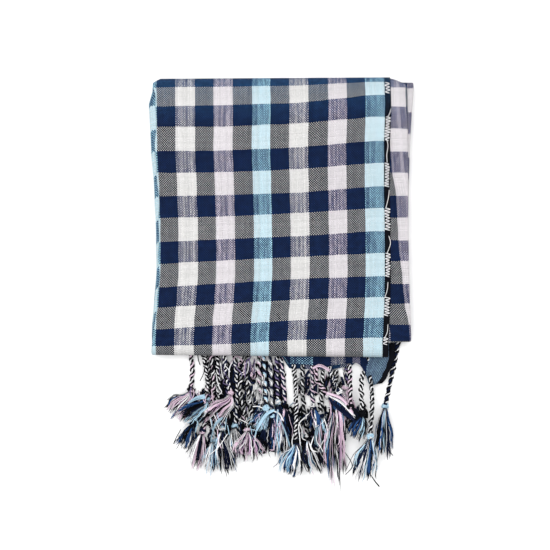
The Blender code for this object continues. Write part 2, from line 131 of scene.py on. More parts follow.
Station = namedtuple("Station", "name side low high outward y_left y_right left right")
STATIONS = (
    # the cloth's way through the pack: an end, five folds and the other end
    # side is -1 at the top of the plan and 1 at its bottom, low and high are the layers joined,
    # outward is 1 where the top panel faces out of the fold, left and right shift the two edges
    Station("lower_end", 1, 1, 1, 1, 0.0, 0.0, 21.0, 2.0),
    Station("outer_top_fold", -1, 1, 6, 1, 91.0, 89.4, -0.5, -1.0),
    Station("outer_bottom_fold", 1, 3, 6, 1, 346.8, 349.2, 1.0, 3.0),
    Station("halfway_fold", -1, 3, 4, 1, 94.0, 92.6, 2.0, -2.0),
    Station("inner_bottom_fold", 1, 4, 5, -1, 345.6, 333.6, 3.0, -1.5),
    Station("inner_top_fold", -1, 2, 5, -1, 92.0, 90.6, -5.0, 5.5),
    Station("upper_end", 1, 2, 2, 1, 0.0, 0.0, 23.0, 1.0),
)
LOWER_END = STATIONS[0]
UPPER_END = STATIONS[-1]
TOP_LAYER = 6

# How finely the sheet is divided: the steps of each panel, and of each layer and fold
TOP_PANEL_STEP = 3.0
UNDER_PANEL_STEP = 9.0
STRIP_STEP = 3.5
STRIP_WIDTH = 24.0
LEFT_STEPS = 7
RIGHT_STEPS = 6
TOP_LAYER_STEPS = 80
LAYER_STEPS = 20
FLAP_STEPS = 22
LOOSE_FROM = 0.8
CURVE_STEPS = 24
TINY = 1e-6
WELD = 1e-7
TURN_STEPS = {
    "outer_top_fold": 14,
    "outer_bottom_fold": 12,
    "halfway_fold": 6,
    "inner_bottom_fold": 6,
    "inner_top_fold": 10,
}

# The weave: yarns in one stripe and in one pair of rows, coarser than the real cloth's so that they show
STRIPE_YARNS = 16
WARP_PITCH = STRIPE / STRIPE_YARNS
WEFT_PITCH = 1.195
LIGHT_PICKS = 20
PAIR_PICKS = 38
LIGHT_ROW = LIGHT_PICKS * WEFT_PITCH
PAIR = PAIR_PICKS * WEFT_PITCH
END_BAND = 52.0
END_BAND_EDGE = 4
HIDDEN_STRETCH = 0.08
HIDDEN_WIDTH = 120.0
# painted sheen on the dark yarns near the outer top fold: how far along the weave it reaches and how
# strongly it lightens them
SHEEN_ROWS = 45.0
SHEEN_STRENGTH = 0.14
# how strongly the end band's first stripe beside the selvage is greyed towards STEEL
GREYED_SHARE = 0.6

# Where warp and weft cross: how much the warp covers, and how sharp the edge between them is
SHARE_REACH = 1.4
MASK_EDGE = 3.0
# the dark yarns cover more than half of each light-and-dark crossing: partly the warp's density and partly
# painted shade between the yarns
DARK_WARP_GAIN = 0.34
LIGHT_WARP_LOSS = 0.20
BAND_WARP_LOSS = 0.14
UNEVEN_LIGHT = 0.34
UNEVEN_ALL = 0.08
CROSSING_DARK = 0.10
CROSSING_LIGHT = 0.14
CROSSING_ALL = 0.04
CLOUDS = 0.10

# How far the yarns stray, how much their shade varies, and the scales and seeds of their noise
WARP_DRIFT = 0.9
WEFT_DRIFT = 1.2
WARP_NOISE = 90.0
WEFT_NOISE = 70.0
CLOUD_NOISE = 45.0
FLECK_NOISE = 900.0
PATCH_NOISE = 160.0
ROUGH_NOISE = 400.0
STRAND_APART = 7.31
STRAND_STRETCH = 0.07
STRAND_UNEVEN = 1.6
STREAK_WIDTH = 3.0
STREAK_STRETCH = 0.12
SHARE_SEED = 3.0
WARP_SEED = 1.0
WEFT_SEED = 7.0
WARP_TONE = 0.30
WEFT_TONE = 0.22
FIBRE_TONE = 0.22
CROSSING_TONE = 0.16
# painted shade of each yarn's roundness: darker towards the gaps between the yarns, lighter on their crowns
GAP_SHADE_TONE = 0.86
CROWN_LIGHT_TONE = 0.2
FLECK_TONE = 1.1
WEAVE_RELIEF = 0.00018
YARN_RELIEF = 0.00015
TWIST_LINES = 3.0
TWIST_SLANT = 3.4

# Where the top panel's stripes begin, counted from the selvage: as they are seen and as they are woven
STRIPES_SEEN = (
    0.0, 6.0, 25.2, 43.5, 62.1, 81.7, 100.6, 119.4, 137.5, 156.7, 175.8, 194.0, 213.6, 231.8, 240.0,
)
STRIPES_WOVEN = (0.0, *(SELVAGE + i * STRIPE for i in range(len(STRIPES_SEEN) - 2)), 239.0)

Slide = namedtuple("Slide", "y shift")
STRIP_SLIDE = (
    # how far the stripes of the strip past the selvage have slid towards its fold
    Slide(100.0, 0.0),
    Slide(163.0, 3.5),
    Slide(197.0, 8.5),
    Slide(240.0, 10.2),
    Slide(284.0, 13.9),
    Slide(303.0, 15.3),
    Slide(324.0, 18.5),
    Slide(341.0, 19.0),
)
LOWER_SLIDE = 8.0
SLIDE_FROM_U = 400.0
SLIDE_FULL_U = 480.0

# The stripes of the upper end below the fold, which are drawn together beside the loose corner
GATHER_X = (262.0, 272.0, 290.0, 313.0, 331.0, 346.0, 352.5, 360.5, 366.0)
GATHER_WOVEN = (164.0, *(SELVAGE + i * STRIPE for i in range(len(GATHER_X) - 1, 0, -1)))
GATHER_Y = 352.0
GATHER_FROM_Y = 325.0

# The top layer's left fold is drawn in a little unevenly, and the folds under it show past it
TUCK = 3.2
TUCK_SWAY = 0.6
TUCK_WAVE = 6.1
TUCK_LONG_WAVE = 14.3
TUCK_WIDTH = 26.0
TUCK_TOP = 78.0
TUCK_BOTTOM = 352.0
TUCK_EASE = 22.0

# The lower layers' left fold bulges only from below the top, and the outer top fold's corners hang down
BULGE_TRIM = 4.5
BULGE_Y = 99.0
BULGE_EASE = 7.0
CORNER_Y = 100.0
LEFT_CORNER = 3.5
LEFT_CORNER_WIDTH = 8.0
RIGHT_CORNER = 5.0
RIGHT_CORNER_WIDTH = 16.0

Pick = namedtuple("Pick", "place strip selvage middle column left")
PICKS = (
    # where the weft changes between light and dark on the top layer: the length woven since the first
    # light row, and the height on the plan at five places across, at PICK_PLACES_U along the width
    Pick(0.0, 88.0, 82.0, 86.2, 87.4, 88.0),
    Pick(LIGHT_ROW, 107.0, 95.0, 103.3, 105.7, 107.0),
    Pick(PAIR, 129.0, 117.2, 123.7, 127.1, 127.0),
    Pick(PAIR + LIGHT_ROW, 152.0, 141.2, 147.8, 151.0, 151.6),
    Pick(2 * PAIR, 173.0, 163.3, 169.5, 172.7, 173.0),
    Pick(2 * PAIR + LIGHT_ROW, 196.0, 186.7, 193.1, 195.3, 196.6),
    Pick(3 * PAIR, 217.7, 208.2, 213.3, 216.6, 218.1),
    Pick(3 * PAIR + LIGHT_ROW, 240.5, 231.3, 236.2, 239.2, 242.0),
    Pick(4 * PAIR, 261.0, 253.2, 257.0, 260.4, 263.8),
    Pick(4 * PAIR + LIGHT_ROW, 284.0, 276.2, 278.8, 283.3, 287.2),
    Pick(5 * PAIR, 303.5, 297.1, 299.6, 303.6, 307.4),
    Pick(5 * PAIR + LIGHT_ROW, 324.5, 317.3, 319.9, 324.8, 329.3),
    Pick(6 * PAIR, 340.0, 337.3, 339.7, 344.1, 345.6),
)
PICK_PLACES_U = (15.5, 91.5, 166.5, 229.5, 495.0)

Crease = namedtuple("Crease", "x1 y1 x2 y2 width height")
CREASES = (
    # soft ridges, and troughs with a height below 0, on the upper sheets
    Crease(152, 347, 262, 344, 3.0, 0.55),
    Crease(262, 344, 300, 349, 4.0, 0.30),
    Crease(152, 352, 300, 351, 2.5, -0.35),
    Crease(170, 128, 176, 300, 9.0, -0.35),
    Crease(231, 100, 229, 330, 10.0, 0.30),
    Crease(318, 95, 310, 345, 12.0, 0.28),
    Crease(352, 90, 356, 340, 10.0, -0.30),
    Crease(156, 215, 390, 205, 10.0, 0.25),
    Crease(156, 292, 388, 281, 9.0, -0.28),
    Crease(380, 92, 376, 345, 5.0, 0.35),
    Crease(158, 130, 158, 330, 4.0, 0.45),
    Crease(170, 97, 250, 95, 6.0, -0.5),
)
CREASE_TOP = 26.0


# The studio is bright enough to blow out the floor, so each dye reflects less than it shows
REFLECTED = 0.74


def dye(red, green, blue):
    """A yarn's colour, given as it shows in the studio, as the light it reflects."""
    shares = [channel / 255 for channel in (red, green, blue)]
    return tuple(REFLECTED * (s / 12.92 if s < 0.04045 else ((s + 0.055) / 1.055) ** 2.4) for s in shares)


NAVY = dye(13, 28, 43)
STEEL = dye(92, 110, 130)
NAVY_WEFT = dye(15, 34, 80)
# painted sheen: the lighter navy that the dark yarns take near the outer top fold
SHEEN_NAVY = dye(70, 130, 185)
BLACK = dye(9, 11, 19)
WHITE = dye(217, 216, 215)
PINK = dye(212, 204, 213)
SKY = dye(166, 216, 234)
STRIPE_COLOURS = (SKY, NAVY, PINK, NAVY, WHITE, NAVY)

# The fringe's dyes: navy, near-black, white, pink, sky, blue, grey, violet, deeper sky and deeper pink
DYES = {
    "N": dye(14, 25, 54), "K": dye(6, 8, 14), "W": dye(250, 250, 252), "P": dye(238, 212, 230),
    "S": dye(184, 218, 238), "B": dye(46, 84, 136), "G": dye(168, 170, 172), "V": dye(116, 104, 142),
    "M": dye(118, 160, 196), "H": dye(206, 172, 204),
}

# The cords and their knots
STRIP_GAP = 0.45
ROOT_TRIES = 400
ROOT_HALF = 2.1
PLY_RADIUS = 0.98
PLY_OFFSET = 1.15
PLY_SWELL = 0.34
SWELL_BEAT = 1.15
SWELL_BEAT_STEP = 0.2
SWELL_SHIFT = 2.3
PLY_SIZES = {"W": 0.8, "G": 0.8, "K": 1.22, "N": 1.18, "V": 1.1}
ANY_PHASE = (0, 6.28)
CORD_SWAY = 0.55
CORD_WAVE = 8.5
SWAY_EASE = 6
TWIST = 9.4
TWIST_VARIES = (0.85, 1.2)
CORD_SINK = 0.9
CORD_FREE = 4.0
RISE_STEPS = 12
CORD_STEP = 1.05
PLY_SIDES = 5
KNOT_TURNS = 2.1
KNOT_LENGTH = 4.6
KNOT_RING = 1.9
KNOT_PLY_RADIUS = 1.15
KNOT_PLY_OFFSET = 0.85
KNOT_HALF = 3.5
KNOT_STEPS = 44
KNOT_LEAD = 4
KNOT_START = (0, 3)

# The tassels: their yarns in clumps, and how these vary from the least to the most
TASSEL_OVERLAP = 0.8
YARN_FREE = 3.0
YARN_STRETCH = (0.74, 1.10)
SIDE_SHORTER = 0.14
ROOT_SPREAD = 1.5
NECK_PLACE = 0.09
NECK_REACH = 0.32
MIDDLE_PLACE = 0.52
MIDDLE_REACH = (0.7, 1.1)
TIP_REACH = (0.75, 1.3)
TIP_SCATTER_X = 1.0
TIP_SCATTER_Y = 0.8
YARN_WAVES = (1.5, 4.0)
YARN_BEND = (0.2, 1.1)
YARN_BEND_GROWTH = 0.8
YARN_TONE = (0.8, 1.3)
CLUMPS = 22
DARK_CLUMPS = 9
CLUMP_SPREAD = 0.85
CLUMP_YARNS = (3, 5)
CLUMP_NECK = 0.3
CLUMP_OPENING = 0.9
CLUMP_WAVE = (0.0, 0.5)
CLUMP_WAVES = 14
CLUMP_LENGTH = (0.8, 1.0)
CLUMP_FEWEST_POINTS = 6
CLUMP_RADIUS = (0.75, 1.2)
CLUMP_LIFT = (1.0, 5.5)
DYE_SCATTER = 0.5
MIXED = 0.28
DARK_DYES = "KKN"
MIXED_DYES = "NKKW"
SHADES = {"S": "SSSM", "P": "PPPH", "N": "NNNB"}
WISPS = 10
WISP_DYES = "WWK"
WISP_SPREAD = (-1.2, 1.2)
WISP_LIFT = (2.0, 6.0)
WISP_RADIUS = 0.27
YARN_RADIUS = 0.4
YARN_SIDES = 4
YARN_STEPS = 10
YARN_SINK = 0.4
FAN = 1.95

# How the strands lie over each other, and the map of cells that remembers how high they reach
DRAPE_SLOPE = 0.42
CLEARANCE = 0.1
PILE_LIMIT = 24.0
MAT_LIMIT = 2.2
CELL = 0.5

# The strands are made in batches of about this many points, and each end has its own random draws
BATCH = 1500
LOWER_SEED = 11
UPPER_SEED = 23

Tangle = namedtuple("Tangle", "x1 y1 x2 y2 count dyes")
LOW_TANGLES = (
    # loose yarns that lie under and between the cords
    Tangle(211, 360, 234, 408, 150, "KKNKKWVK"),
    Tangle(230, 360, 262, 380, 80, "KNVPKGK"),
    Tangle(244, 370, 268, 406, 40, "GGWGKPW"),
    Tangle(226, 380, 254, 444, 130, "KKNKKWV"),
    Tangle(264, 360, 285, 404, 90, "KKKNW"),
    Tangle(188, 388, 214, 402, 40, "KKVPKN"),
    Tangle(198, 402, 285, 450, 210, "KNKKVWS"),
    Tangle(296, 368, 318, 392, 50, "KKNWPG"),
    Tangle(326, 368, 346, 396, 50, "KKNWPG"),
    Tangle(289, 402, 345, 450, 190, "KNKKVWS"),
    Tangle(353, 402, 366, 416, 14, "KNKNG"),
)
HIGH_TANGLES = (
    # loose yarns that lie on top
    Tangle(208, 354, 232, 392, 10, "WVKG"),
    Tangle(230, 353, 262, 376, 14, "PVPGW"),
    Tangle(246, 372, 268, 402, 16, "GWGW"),
    Tangle(186, 386, 214, 400, 8, "PVK"),
    Tangle(296, 368, 342, 392, 8, "PWGK"),
    Tangle(196, 410, 280, 446, 22, "WSPW"),
    Tangle(292, 408, 345, 450, 18, "WSPW"),
)
Band = namedtuple("Band", "dye count x1 y1 x2 y2 x3 y3")
BANDS = (
    # bundles of yarn that run across the tassels
    Band("P", 6, 326, 392, 342, 399, 353, 414),
    Band("W", 4, 328, 395, 342, 403, 355, 417),
    Band("N", 9, 328, 397, 339, 408, 355, 419),
    Band("S", 5, 223, 417, 215, 425, 211, 441),
    Band("W", 2, 252, 406, 260, 406, 269, 412),
    Band("W", 2, 272, 410, 279, 413, 284, 421),
    Band("W", 1, 209, 455, 219, 446, 228, 433),
    Band("S", 8, 275, 409, 266, 414, 256, 429),
    Band("S", 3, 276, 410, 284, 428, 290, 446),
    Band("S", 7, 188, 403, 196, 398, 206, 396),
    Band("P", 3, 232, 361, 237, 356, 243, 362),
    Band("P", 4, 312, 369, 320, 366, 330, 371),
    Band("K", 1, 205.5, 362, 204, 372, 199.5, 382),
    Band("K", 1, 197, 352, 198, 360, 200, 366),
    Band("K", 1, 181, 429, 176, 438, 173, 445),
    Band("K", 1, 345, 452, 352, 465, 345, 475),
    Band("N", 1, 386, 448, 390, 452, 394, 457),
    Band("K", 2, 370, 474, 375, 481, 380, 487),
)

# How the bundles and the loose yarns vary
BAND_SPREAD = 1.1
BAND_START = 0.4
BAND_END = 1.2
BAND_SWAY = 0.4
BAND_STEP = 1.3
BAND_RISE = 3.0
TANGLE_STEP = 2.1
TANGLE_BENDS = (2, 3)
TANGLE_RUN = 6.0
TANGLE_RUN_VARIES = 3.5
TANGLE_WANDER = 3.2
TANGLE_SIDE = 1
TANGLE_PAST = 3
TANGLE_VARIES = (0.7, 1.25)
TANGLE_RADIUS = 0.45
DARK_TANGLE_RADIUS = 1.05

Cord = namedtuple("Cord", "panel root bend_x bend_y knot_x knot_y tip_x tip_y fan plies knot tassel")
LOWER_CORDS = (
    Cord("under", 208.5, 209, 385, 194, 422, 183, 453, 5, "KWKG", "KN", "KNKNKB"),
    Cord("top", 214.0, 213, 390, 203, 430, 194, 474, 4, "KWKP", "PN", "PPPNPW"),
    Cord("inner", 219.5, 218, 395, 214, 438, 211, 477, 4, "KWKW", "SW", "SSNSWS"),
    Cord("under", 225.0, 228, 396, 223, 427, 229, 478, 6, "NWKV", "SW", "SNPNWNKS"),
    Cord("inner", 236.0, 237, 390, 235, 424, 239, 457, 5, "NWKW", "NS", "NKGNSG"),
    Cord("top", 246.0, 248, 392, 254, 433, 257, 453, 5, "KWKG", "NK", "KNBGN"),
    Cord("under", 260.0, 259, 380, 261, 400, 264, 424, 5, "WGKP", "WG", "KNKSN"),
    Cord("inner", 271.0, 271, 388, 272, 413, 271, 446, 5, "WGNG", "NS", "KPNKN"),
    Cord("top", 284.0, 283, 380, 285, 404, 289, 446, 5, "PNWN", "NK", "NKNKP"),
    Cord("inner", 324.0, 322, 386, 321, 413, 328, 474, 5, "KWKW", "NW", "NSNKPNS"),
    Cord("under", 337.0, 336, 382, 336.5, 405, 340, 440, 4, "KWKG", "KN", "KKNKK"),
    Cord("top", 349.0, 348, 372, 346, 386, 350, 430, 5, "NWKV", "WP", "PPWKSP"),
)
UPPER_CORDS = (
    Cord("under", 192.0, 192, 370, 190.5, 388, 169, 420, 6, "KWKP", "KP", "PKPPWPNG"),
    Cord("top", 205.0, 207, 377, 207, 396, 182, 424, 6, "KWKW", "SK", "NKSSBNKN"),
    Cord("inner", 226.0, 226, 376, 230, 391, 204, 427, 6, "NWKW", "PP", "WGPPKPPPW"),
    Cord("inner", 253.0, 240, 384, 247, 427, 248, 464, 8, "KWKG", "KP", "PPKPWPPNP"),
    Cord("top", 266.0, 265, 382, 266, 405, 256, 430, 5, "WSNK", "SS", "SSSNSPN"),
    Cord("under", 278.0, 277, 380, 278, 400, 280, 460, 5, "NWKV", "SW", "SNKWSNN"),
    Cord("top", 297.0, 296, 398, 295.5, 440, 287, 479, 6, "KWKW", "KN", "KNBNSBS"),
    Cord("inner", 303.5, 303, 397, 307, 436, 319, 476, 6, "KWKG", "KW", "NPKPSNSSNB"),
    Cord("under", 313.0, 312, 386, 313, 405, 312, 430, 5, "PNWN", "WN", "BSNKSN"),
    Cord("top", 320.0, 317, 381, 327, 394, 337, 493, 6, "PKPK", "WP", "PPPWPKNNP"),
    Cord("inner", 330.0, 332, 376, 338, 389, 344, 414, 4, "NWKW", "WN", "WPNKNB"),
    Cord("under", 350.0, 350, 385, 350, 403, 355, 421, 4, "KWKP", "PK", "KKNPK"),
    Cord("top", 366.0, 361, 385, 362, 411, 353, 441, 5, "KWKW", "KK", "KNSBSNK"),
    Cord("inner", 368.0, 372, 395, 370, 433, 361, 485, 6, "WKGK", "SW", "SNBSNKKNS"),
    Cord("under", 399.0, 395, 362, 386, 404, 383, 463, 5, "KWKN", "SN", "BSNSNNKK"),
)


def smooth(share):
    """Ease a share between 0 and 1."""
    share = min(1.0, max(0.0, share))
    return share * share * (3.0 - 2.0 * share)


def read(rows, key, value, at):
    """Read a column of a table between its rows, eased from one row to the next."""
    if at <= getattr(rows[0], key):
        return getattr(rows[0], value)
    for above, below in zip(rows, rows[1:]):
        start = getattr(above, key)
        end = getattr(below, key)
        if at <= end:
            share = smooth((at - start) / (end - start))
            return getattr(above, value) * (1 - share) + getattr(below, value) * share
    return getattr(rows[-1], value)


def on_plan(x, y, z):
    """Turn a place on the plan into the part's own frame."""
    return Vector(((x - PLAN_MIDDLE_X) * MM, (PLAN_MIDDLE_Y - y) * MM, z * MM))


def off_plan(point):
    """Turn a place in the part's own frame into one on the plan."""
    return point.x / MM + PLAN_MIDDLE_X, PLAN_MIDDLE_Y - point.y / MM, point.z / MM


def make_object(name, data):
    """Put an object in the scene."""
    made = bpy.data.objects.new(name, data)
    bpy.context.scene.collection.objects.link(made)
    return made


def mesh_object(name, bm):
    """Turn a finished bmesh into an object in the scene."""
    mesh = bpy.data.meshes.new(name)
    bm.to_mesh(mesh)
    bm.free()
    return make_object(name, mesh)


def layer_height(layer):
    """Height of the middle of a layer, counted from the table."""
    return SHEET / 2 + PITCH + (layer - 1) * PACK_PITCH


def section(u):
    """Place across the pack, and height from its middle, of a point u along the cloth's width."""
    if u <= TOP_END_U:
        return SELVAGE_X - u, PITCH
    if u < UNDER_START_U:
        angle = math.pi / 2 + (u - TOP_END_U) / LEFT_RADIUS
        return LEFT_TURN_X + LEFT_RADIUS * math.cos(angle), LEFT_RADIUS * math.sin(angle)
    if u <= UNDER_END_U:
        return LEFT_TURN_X + u - UNDER_START_U, -PITCH
    if u < INNER_START_U:
        angle = (u - UNDER_END_U) / RIGHT_RADIUS - math.pi / 2
        height = RIGHT_RADIUS * math.sin(angle) - RIGHT_RADIUS
        return RIGHT_TURN_X + RIGHT_RADIUS * math.cos(angle), height
    return RIGHT_TURN_X - (u - INNER_START_U), 0.0


def share_across(u):
    """Share of the way from the left fold to the right one."""
    return (section(u)[0] - LEFT_FOLD_X) / (RIGHT_FOLD_X - LEFT_FOLD_X)


def near_left(u, width):
    """1 at the left fold, falling to 0 at a width from it."""
    return smooth(1 - (section(u)[0] - LEFT_FOLD_X) / width)


def drawn_up(u):
    """How far the lower panels stop short of the top one at the lower outer fold."""
    if u <= TOP_END_U:
        return 0.0
    return DRAWN_UP * smooth((section(u)[0] - DRAWN_UP_FROM_X) / (RIGHT_FOLD_X - DRAWN_UP_FROM_X))


def flap_share(u, full, none):
    """1 at the loose corner's selvage, falling to 0 further along the width."""
    return smooth((none - u) / (none - full))


def station_y(station, u, x):
    """Height on the plan of a fold's axis, or of an end of the cloth."""
    if station.name == "lower_end":
        return read(HEMS, "x", "lower", x)
    if station.name == "upper_end":
        return read(HEMS, "x", "upper", x) + FLAP_LENGTH * flap_share(u, FLAP_FULL_U, FLAP_NONE_U)
    share = share_across(u)
    y = station.y_left * (1 - share) + station.y_right * share
    if station.name == "outer_bottom_fold":
        y -= drawn_up(u)
    return y


def crease_height(x, y):
    """How far the creases lift or dent the uppermost sheet at a place."""
    total = 0.0
    for crease in CREASES:
        along_x = crease.x2 - crease.x1
        along_y = crease.y2 - crease.y1
        length = math.hypot(along_x, along_y)
        along = ((x - crease.x1) * along_x + (y - crease.y1) * along_y) / length
        across = ((x - crease.x1) * along_y - (y - crease.y1) * along_x) / length
        past = max(-along, along - length, 0.0)
        total += crease.height * math.exp(-(across ** 2 + past ** 2) / crease.width ** 2)
    return total


def tuck(u, y, layer):
    """How far the top layer is drawn in beside its left fold."""
    if layer != TOP_LAYER:
        return 0.0
    ends = smooth((y - TUCK_TOP) / TUCK_EASE) * smooth((TUCK_BOTTOM - y) / TUCK_EASE)
    drawn_in = TUCK + TUCK_SWAY * math.sin(y / TUCK_WAVE) + TUCK_SWAY * math.sin(y / TUCK_LONG_WAVE)
    return drawn_in * near_left(u, TUCK_WIDTH) * ends


def corner_drop(u, y):
    """How far the two corners of the outer top fold hang down."""
    near = smooth((CORNER_Y - y) / (CORNER_Y - TUCK_TOP))
    left = LEFT_CORNER * near_left(u, LEFT_CORNER_WIDTH)
    right = RIGHT_CORNER * smooth(1 - (RIGHT_FOLD_X - section(u)[0]) / RIGHT_CORNER_WIDTH)
    return near * (left + (right if u > TOP_END_U else 0.0))


def finish_point(u, x, y, z, layer):
    """Lean, swing, droop and crease a point of the cloth, and place it in the part's frame."""
    share = share_across(u)
    x += tuck(u, y, layer)
    if layer == TOP_LAYER:
        y += corner_drop(u, y)
    else:
        x += BULGE_TRIM * near_left(u, TUCK_WIDTH) * smooth((BULGE_Y - y) / BULGE_EASE)
    x += read(LEAN, "y", "left", y) * (1 - share)
    if u <= TOP_END_U:
        x += read(LEAN, "y", "right", y) * (1 - u / TOP_END_U)
    if layer == 2:
        x += read(FLAP_SWING, "y", "shift", y) * flap_share(u, 0.0, FLAP_SWING_U)
        droop = FLAP_DROOP * smooth((y - FLAP_DROOP_Y) / (FLAP_REACH_Y - FLAP_DROOP_Y))
        z -= droop * flap_share(u, FLAP_FULL_U, FLAP_NONE_U)
    z += crease_height(x, y) * max(0.0, z / CREASE_TOP) ** 2
    return on_plan(x, y, z)


def edge_x(u, left_shift, right_shift):
    """Place across the pack with its two edges shifted."""
    share = share_across(u)
    return section(u)[0] + left_shift * (1 - share) + right_shift * share


def sheet_height(u, layer):
    """Height of a flat layer's sheet: every other layer lies face down."""
    facing = 1 if layer % 2 == 0 else -1
    return layer_height(layer) + facing * section(u)[1]


def layer_ends(u, start, end):
    """Heights on the plan of the two ends of a layer."""
    return [station_y(station, u, edge_x(u, station.left, station.right)) for station in (start, end)]


def run_point(u, layer, start, end, along):
    """A point of a flat layer, a share of the way from one station to the next."""
    from_start = (1 - along) ** SHIFT_EASE
    to_end = along ** SHIFT_EASE
    x = edge_x(u, start.left * from_start + end.left * to_end, start.right * from_start + end.right * to_end)
    start_y, end_y = layer_ends(u, start, end)
    y = start_y * (1 - along) + end_y * along
    return finish_point(u, x, y, sheet_height(u, layer), layer)


def turn_point(u, station, angle):
    """A point of a fold, at an angle from -90 degrees on its low side to 90 on its high side."""
    radius = (layer_height(station.high) - layer_height(station.low)) / 2
    middle = (layer_height(station.high) + layer_height(station.low)) / 2
    radius += station.outward * section(u)[1]
    x = edge_x(u, station.left, station.right)
    y = station_y(station, u, x) + station.side * radius * math.cos(angle)
    return finish_point(u, x, y, middle + radius * math.sin(angle), station.high)


def even_steps(start, end, step):
    """Even places from a start to an end, with neither of them left out."""
    count = max(1, round(abs(end - start) / step))
    return [start + (end - start) * i / count for i in range(count + 1)]


def cloth_columns():
    """The places along the width where the sheet has a line of points."""
    stretches = (
        (TOP_END_U, TOP_PANEL_STEP),
        (UNDER_START_U, (UNDER_START_U - TOP_END_U) / LEFT_STEPS),
        (UNDER_END_U, UNDER_PANEL_STEP),
        (INNER_START_U, (INNER_START_U - UNDER_END_U) / RIGHT_STEPS),
        (INNER_START_U + STRIP_WIDTH, STRIP_STEP),
        (CLOTH_WIDTH, UNDER_PANEL_STEP),
    )
    start = 0.0
    columns = [start]
    for end, step in stretches:
        columns += even_steps(start, end, step)[1:]
        start = end
    return columns


def run_steps(layer):
    """Shares of the way along a layer: close together on the top one and at the loose end."""
    if layer == TOP_LAYER:
        return [i / TOP_LAYER_STEPS for i in range(TOP_LAYER_STEPS + 1)]
    steps = [i / LAYER_STEPS for i in range(LAYER_STEPS + 1)]
    if layer == 2:
        steps = [share for share in steps if share < LOOSE_FROM - TINY]
        steps += [LOOSE_FROM + (1 - LOOSE_FROM) * i / FLAP_STEPS for i in range(FLAP_STEPS + 1)]
    return steps


Row = namedtuple("Row", "layer is_turn point")


def cloth_rows():
    """The lines of the sheet from one end to the other, each with its place on a layer or a fold."""
    rows = []
    for start, end in zip(STATIONS, STATIONS[1:]):
        layer = ({start.low, start.high} & {end.low, end.high}).pop()
        for along in run_steps(layer)[bool(rows):]:
            place = lambda u, a=along, n=layer, s=start, e=end: run_point(u, n, s, e, a)
            rows.append(Row(layer, False, place))
        if end.name not in TURN_STEPS:
            continue
        steps = TURN_STEPS[end.name]
        rising = 1 if layer == end.low else -1
        for step in range(1, steps + 1):
            angle = rising * math.pi * (step / steps - 0.5)
            place = lambda u, a=angle, s=end: turn_point(u, s, a)
            rows.append(Row(end.high, True, place))
    return rows


def pick_heights(u):
    """Where the weft changes on the top layer at a place along the width, as heights on the plan."""
    heights = [[p.selvage, p.middle, p.column, p.left, p.strip] for p in PICKS]
    return [float(np.interp(u, PICK_PLACES_U, row)) for row in heights]


def weft_places(u, column, rows):
    """How far along the weave, and along the sheet, each point of one column of the sheet lies."""
    steps = [0.0] + [(b - a).length / MM for a, b in zip(column, column[1:])]
    lengths = np.cumsum(steps)
    heights = [off_plan(point)[1] for point in column]
    top = [i for i, row in enumerate(rows) if row.layer == TOP_LAYER and not row.is_turn]
    first, last = top[0], top[-1]
    bounds = pick_heights(u)
    places = [p.place for p in PICKS]
    woven = np.interp(heights, bounds, places)
    for i in top:
        if heights[i] > bounds[-1]:
            woven[i] = places[-1] + heights[i] - bounds[-1]
    rate = (places[1] - places[0]) / (bounds[1] - bounds[0])
    turn = TURN_STEPS["outer_top_fold"]
    for i in range(first - 1, -1, -1):
        near_fold = first - i <= turn
        woven[i] = woven[i + 1] - (lengths[i + 1] - lengths[i]) * (rate if near_fold else 1.0)
    hidden = HIDDEN_STRETCH * smooth(1 - abs(u - UNDER_START_U) / HIDDEN_WIDTH)
    for i in range(last + 1, len(column)):
        rate = 1.0 + hidden if rows[i].layer == 3 else 1.0
        woven[i] = woven[i - 1] + (lengths[i] - lengths[i - 1]) * rate
    return woven, lengths


def warp_place(u, point, layer):
    """Which warp yarns pass through a point of the sheet, as a place along the woven width."""
    x, y, _ = off_plan(point)
    at_fold = float(np.interp(TOP_END_U - tuck(TOP_END_U, y, layer), STRIPES_SEEN, STRIPES_WOVEN))
    fold = at_fold - TOP_END_U
    if u <= TOP_END_U:
        place = float(np.interp(u - tuck(u, y, layer), STRIPES_SEEN, STRIPES_WOVEN))
        if layer == 2 and x < GATHER_X[-1]:
            gathered = smooth((y - GATHER_FROM_Y) / (GATHER_Y - GATHER_FROM_Y))
            target = float(np.interp(x, GATHER_X, GATHER_WOVEN))
            place = place * (1 - gathered) + target * gathered
        return place
    slide = read(STRIP_SLIDE, "y", "shift", y) if layer == TOP_LAYER else LOWER_SLIDE
    slide *= smooth((u - SLIDE_FROM_U) / (SLIDE_FULL_U - SLIDE_FROM_U))
    return u + fold * smooth((UNDER_START_U + TUCK_WIDTH - u) / TUCK_WIDTH) + slide


def make_cloth():
    """The whole folded cloth as one thin sheet, with the weave's own coordinates on it."""
    columns = cloth_columns()
    rows = cloth_rows()
    bm = bmesh.new()
    across = len(columns) - 1
    along = len(rows) - 1
    bmesh.ops.create_grid(bm, x_segments=across, y_segments=along, size=1.0)
    uv = bm.loops.layers.uv.new("weave")
    band = bm.verts.layers.float.new("end_band")
    points = [[row.point(u) for row in rows] for u in columns]
    woven = [weft_places(u, column, rows) for u, column in zip(columns, points)]
    warps = [[warp_place(u, point, row.layer) for point, row in zip(column, rows)]
             for u, column in zip(columns, points)]
    for vert in bm.verts:
        i = round((vert.co.x + 1) / 2 * across)
        j = round((vert.co.y + 1) / 2 * along)
        vert.co = points[i][j]
        lengths = woven[i][1]
        end = min(lengths[j], lengths[-1] - lengths[j])
        vert[band] = smooth((END_BAND - end) * END_BAND_EDGE)
        vert.index = i * len(rows) + j
    for face in bm.faces:
        face.smooth = True
        for loop in face.loops:
            i, j = divmod(loop.vert.index, len(rows))
            loop[uv].uv = (warps[i][j] * MM, woven[i][0][j] * MM)
    obj = mesh_object("krama_sheet", bm)
    solid = obj.modifiers.new("thickness", "SOLIDIFY")
    solid.thickness = CLOTH_THICKNESS * MM
    solid.offset = 0.0
    return obj


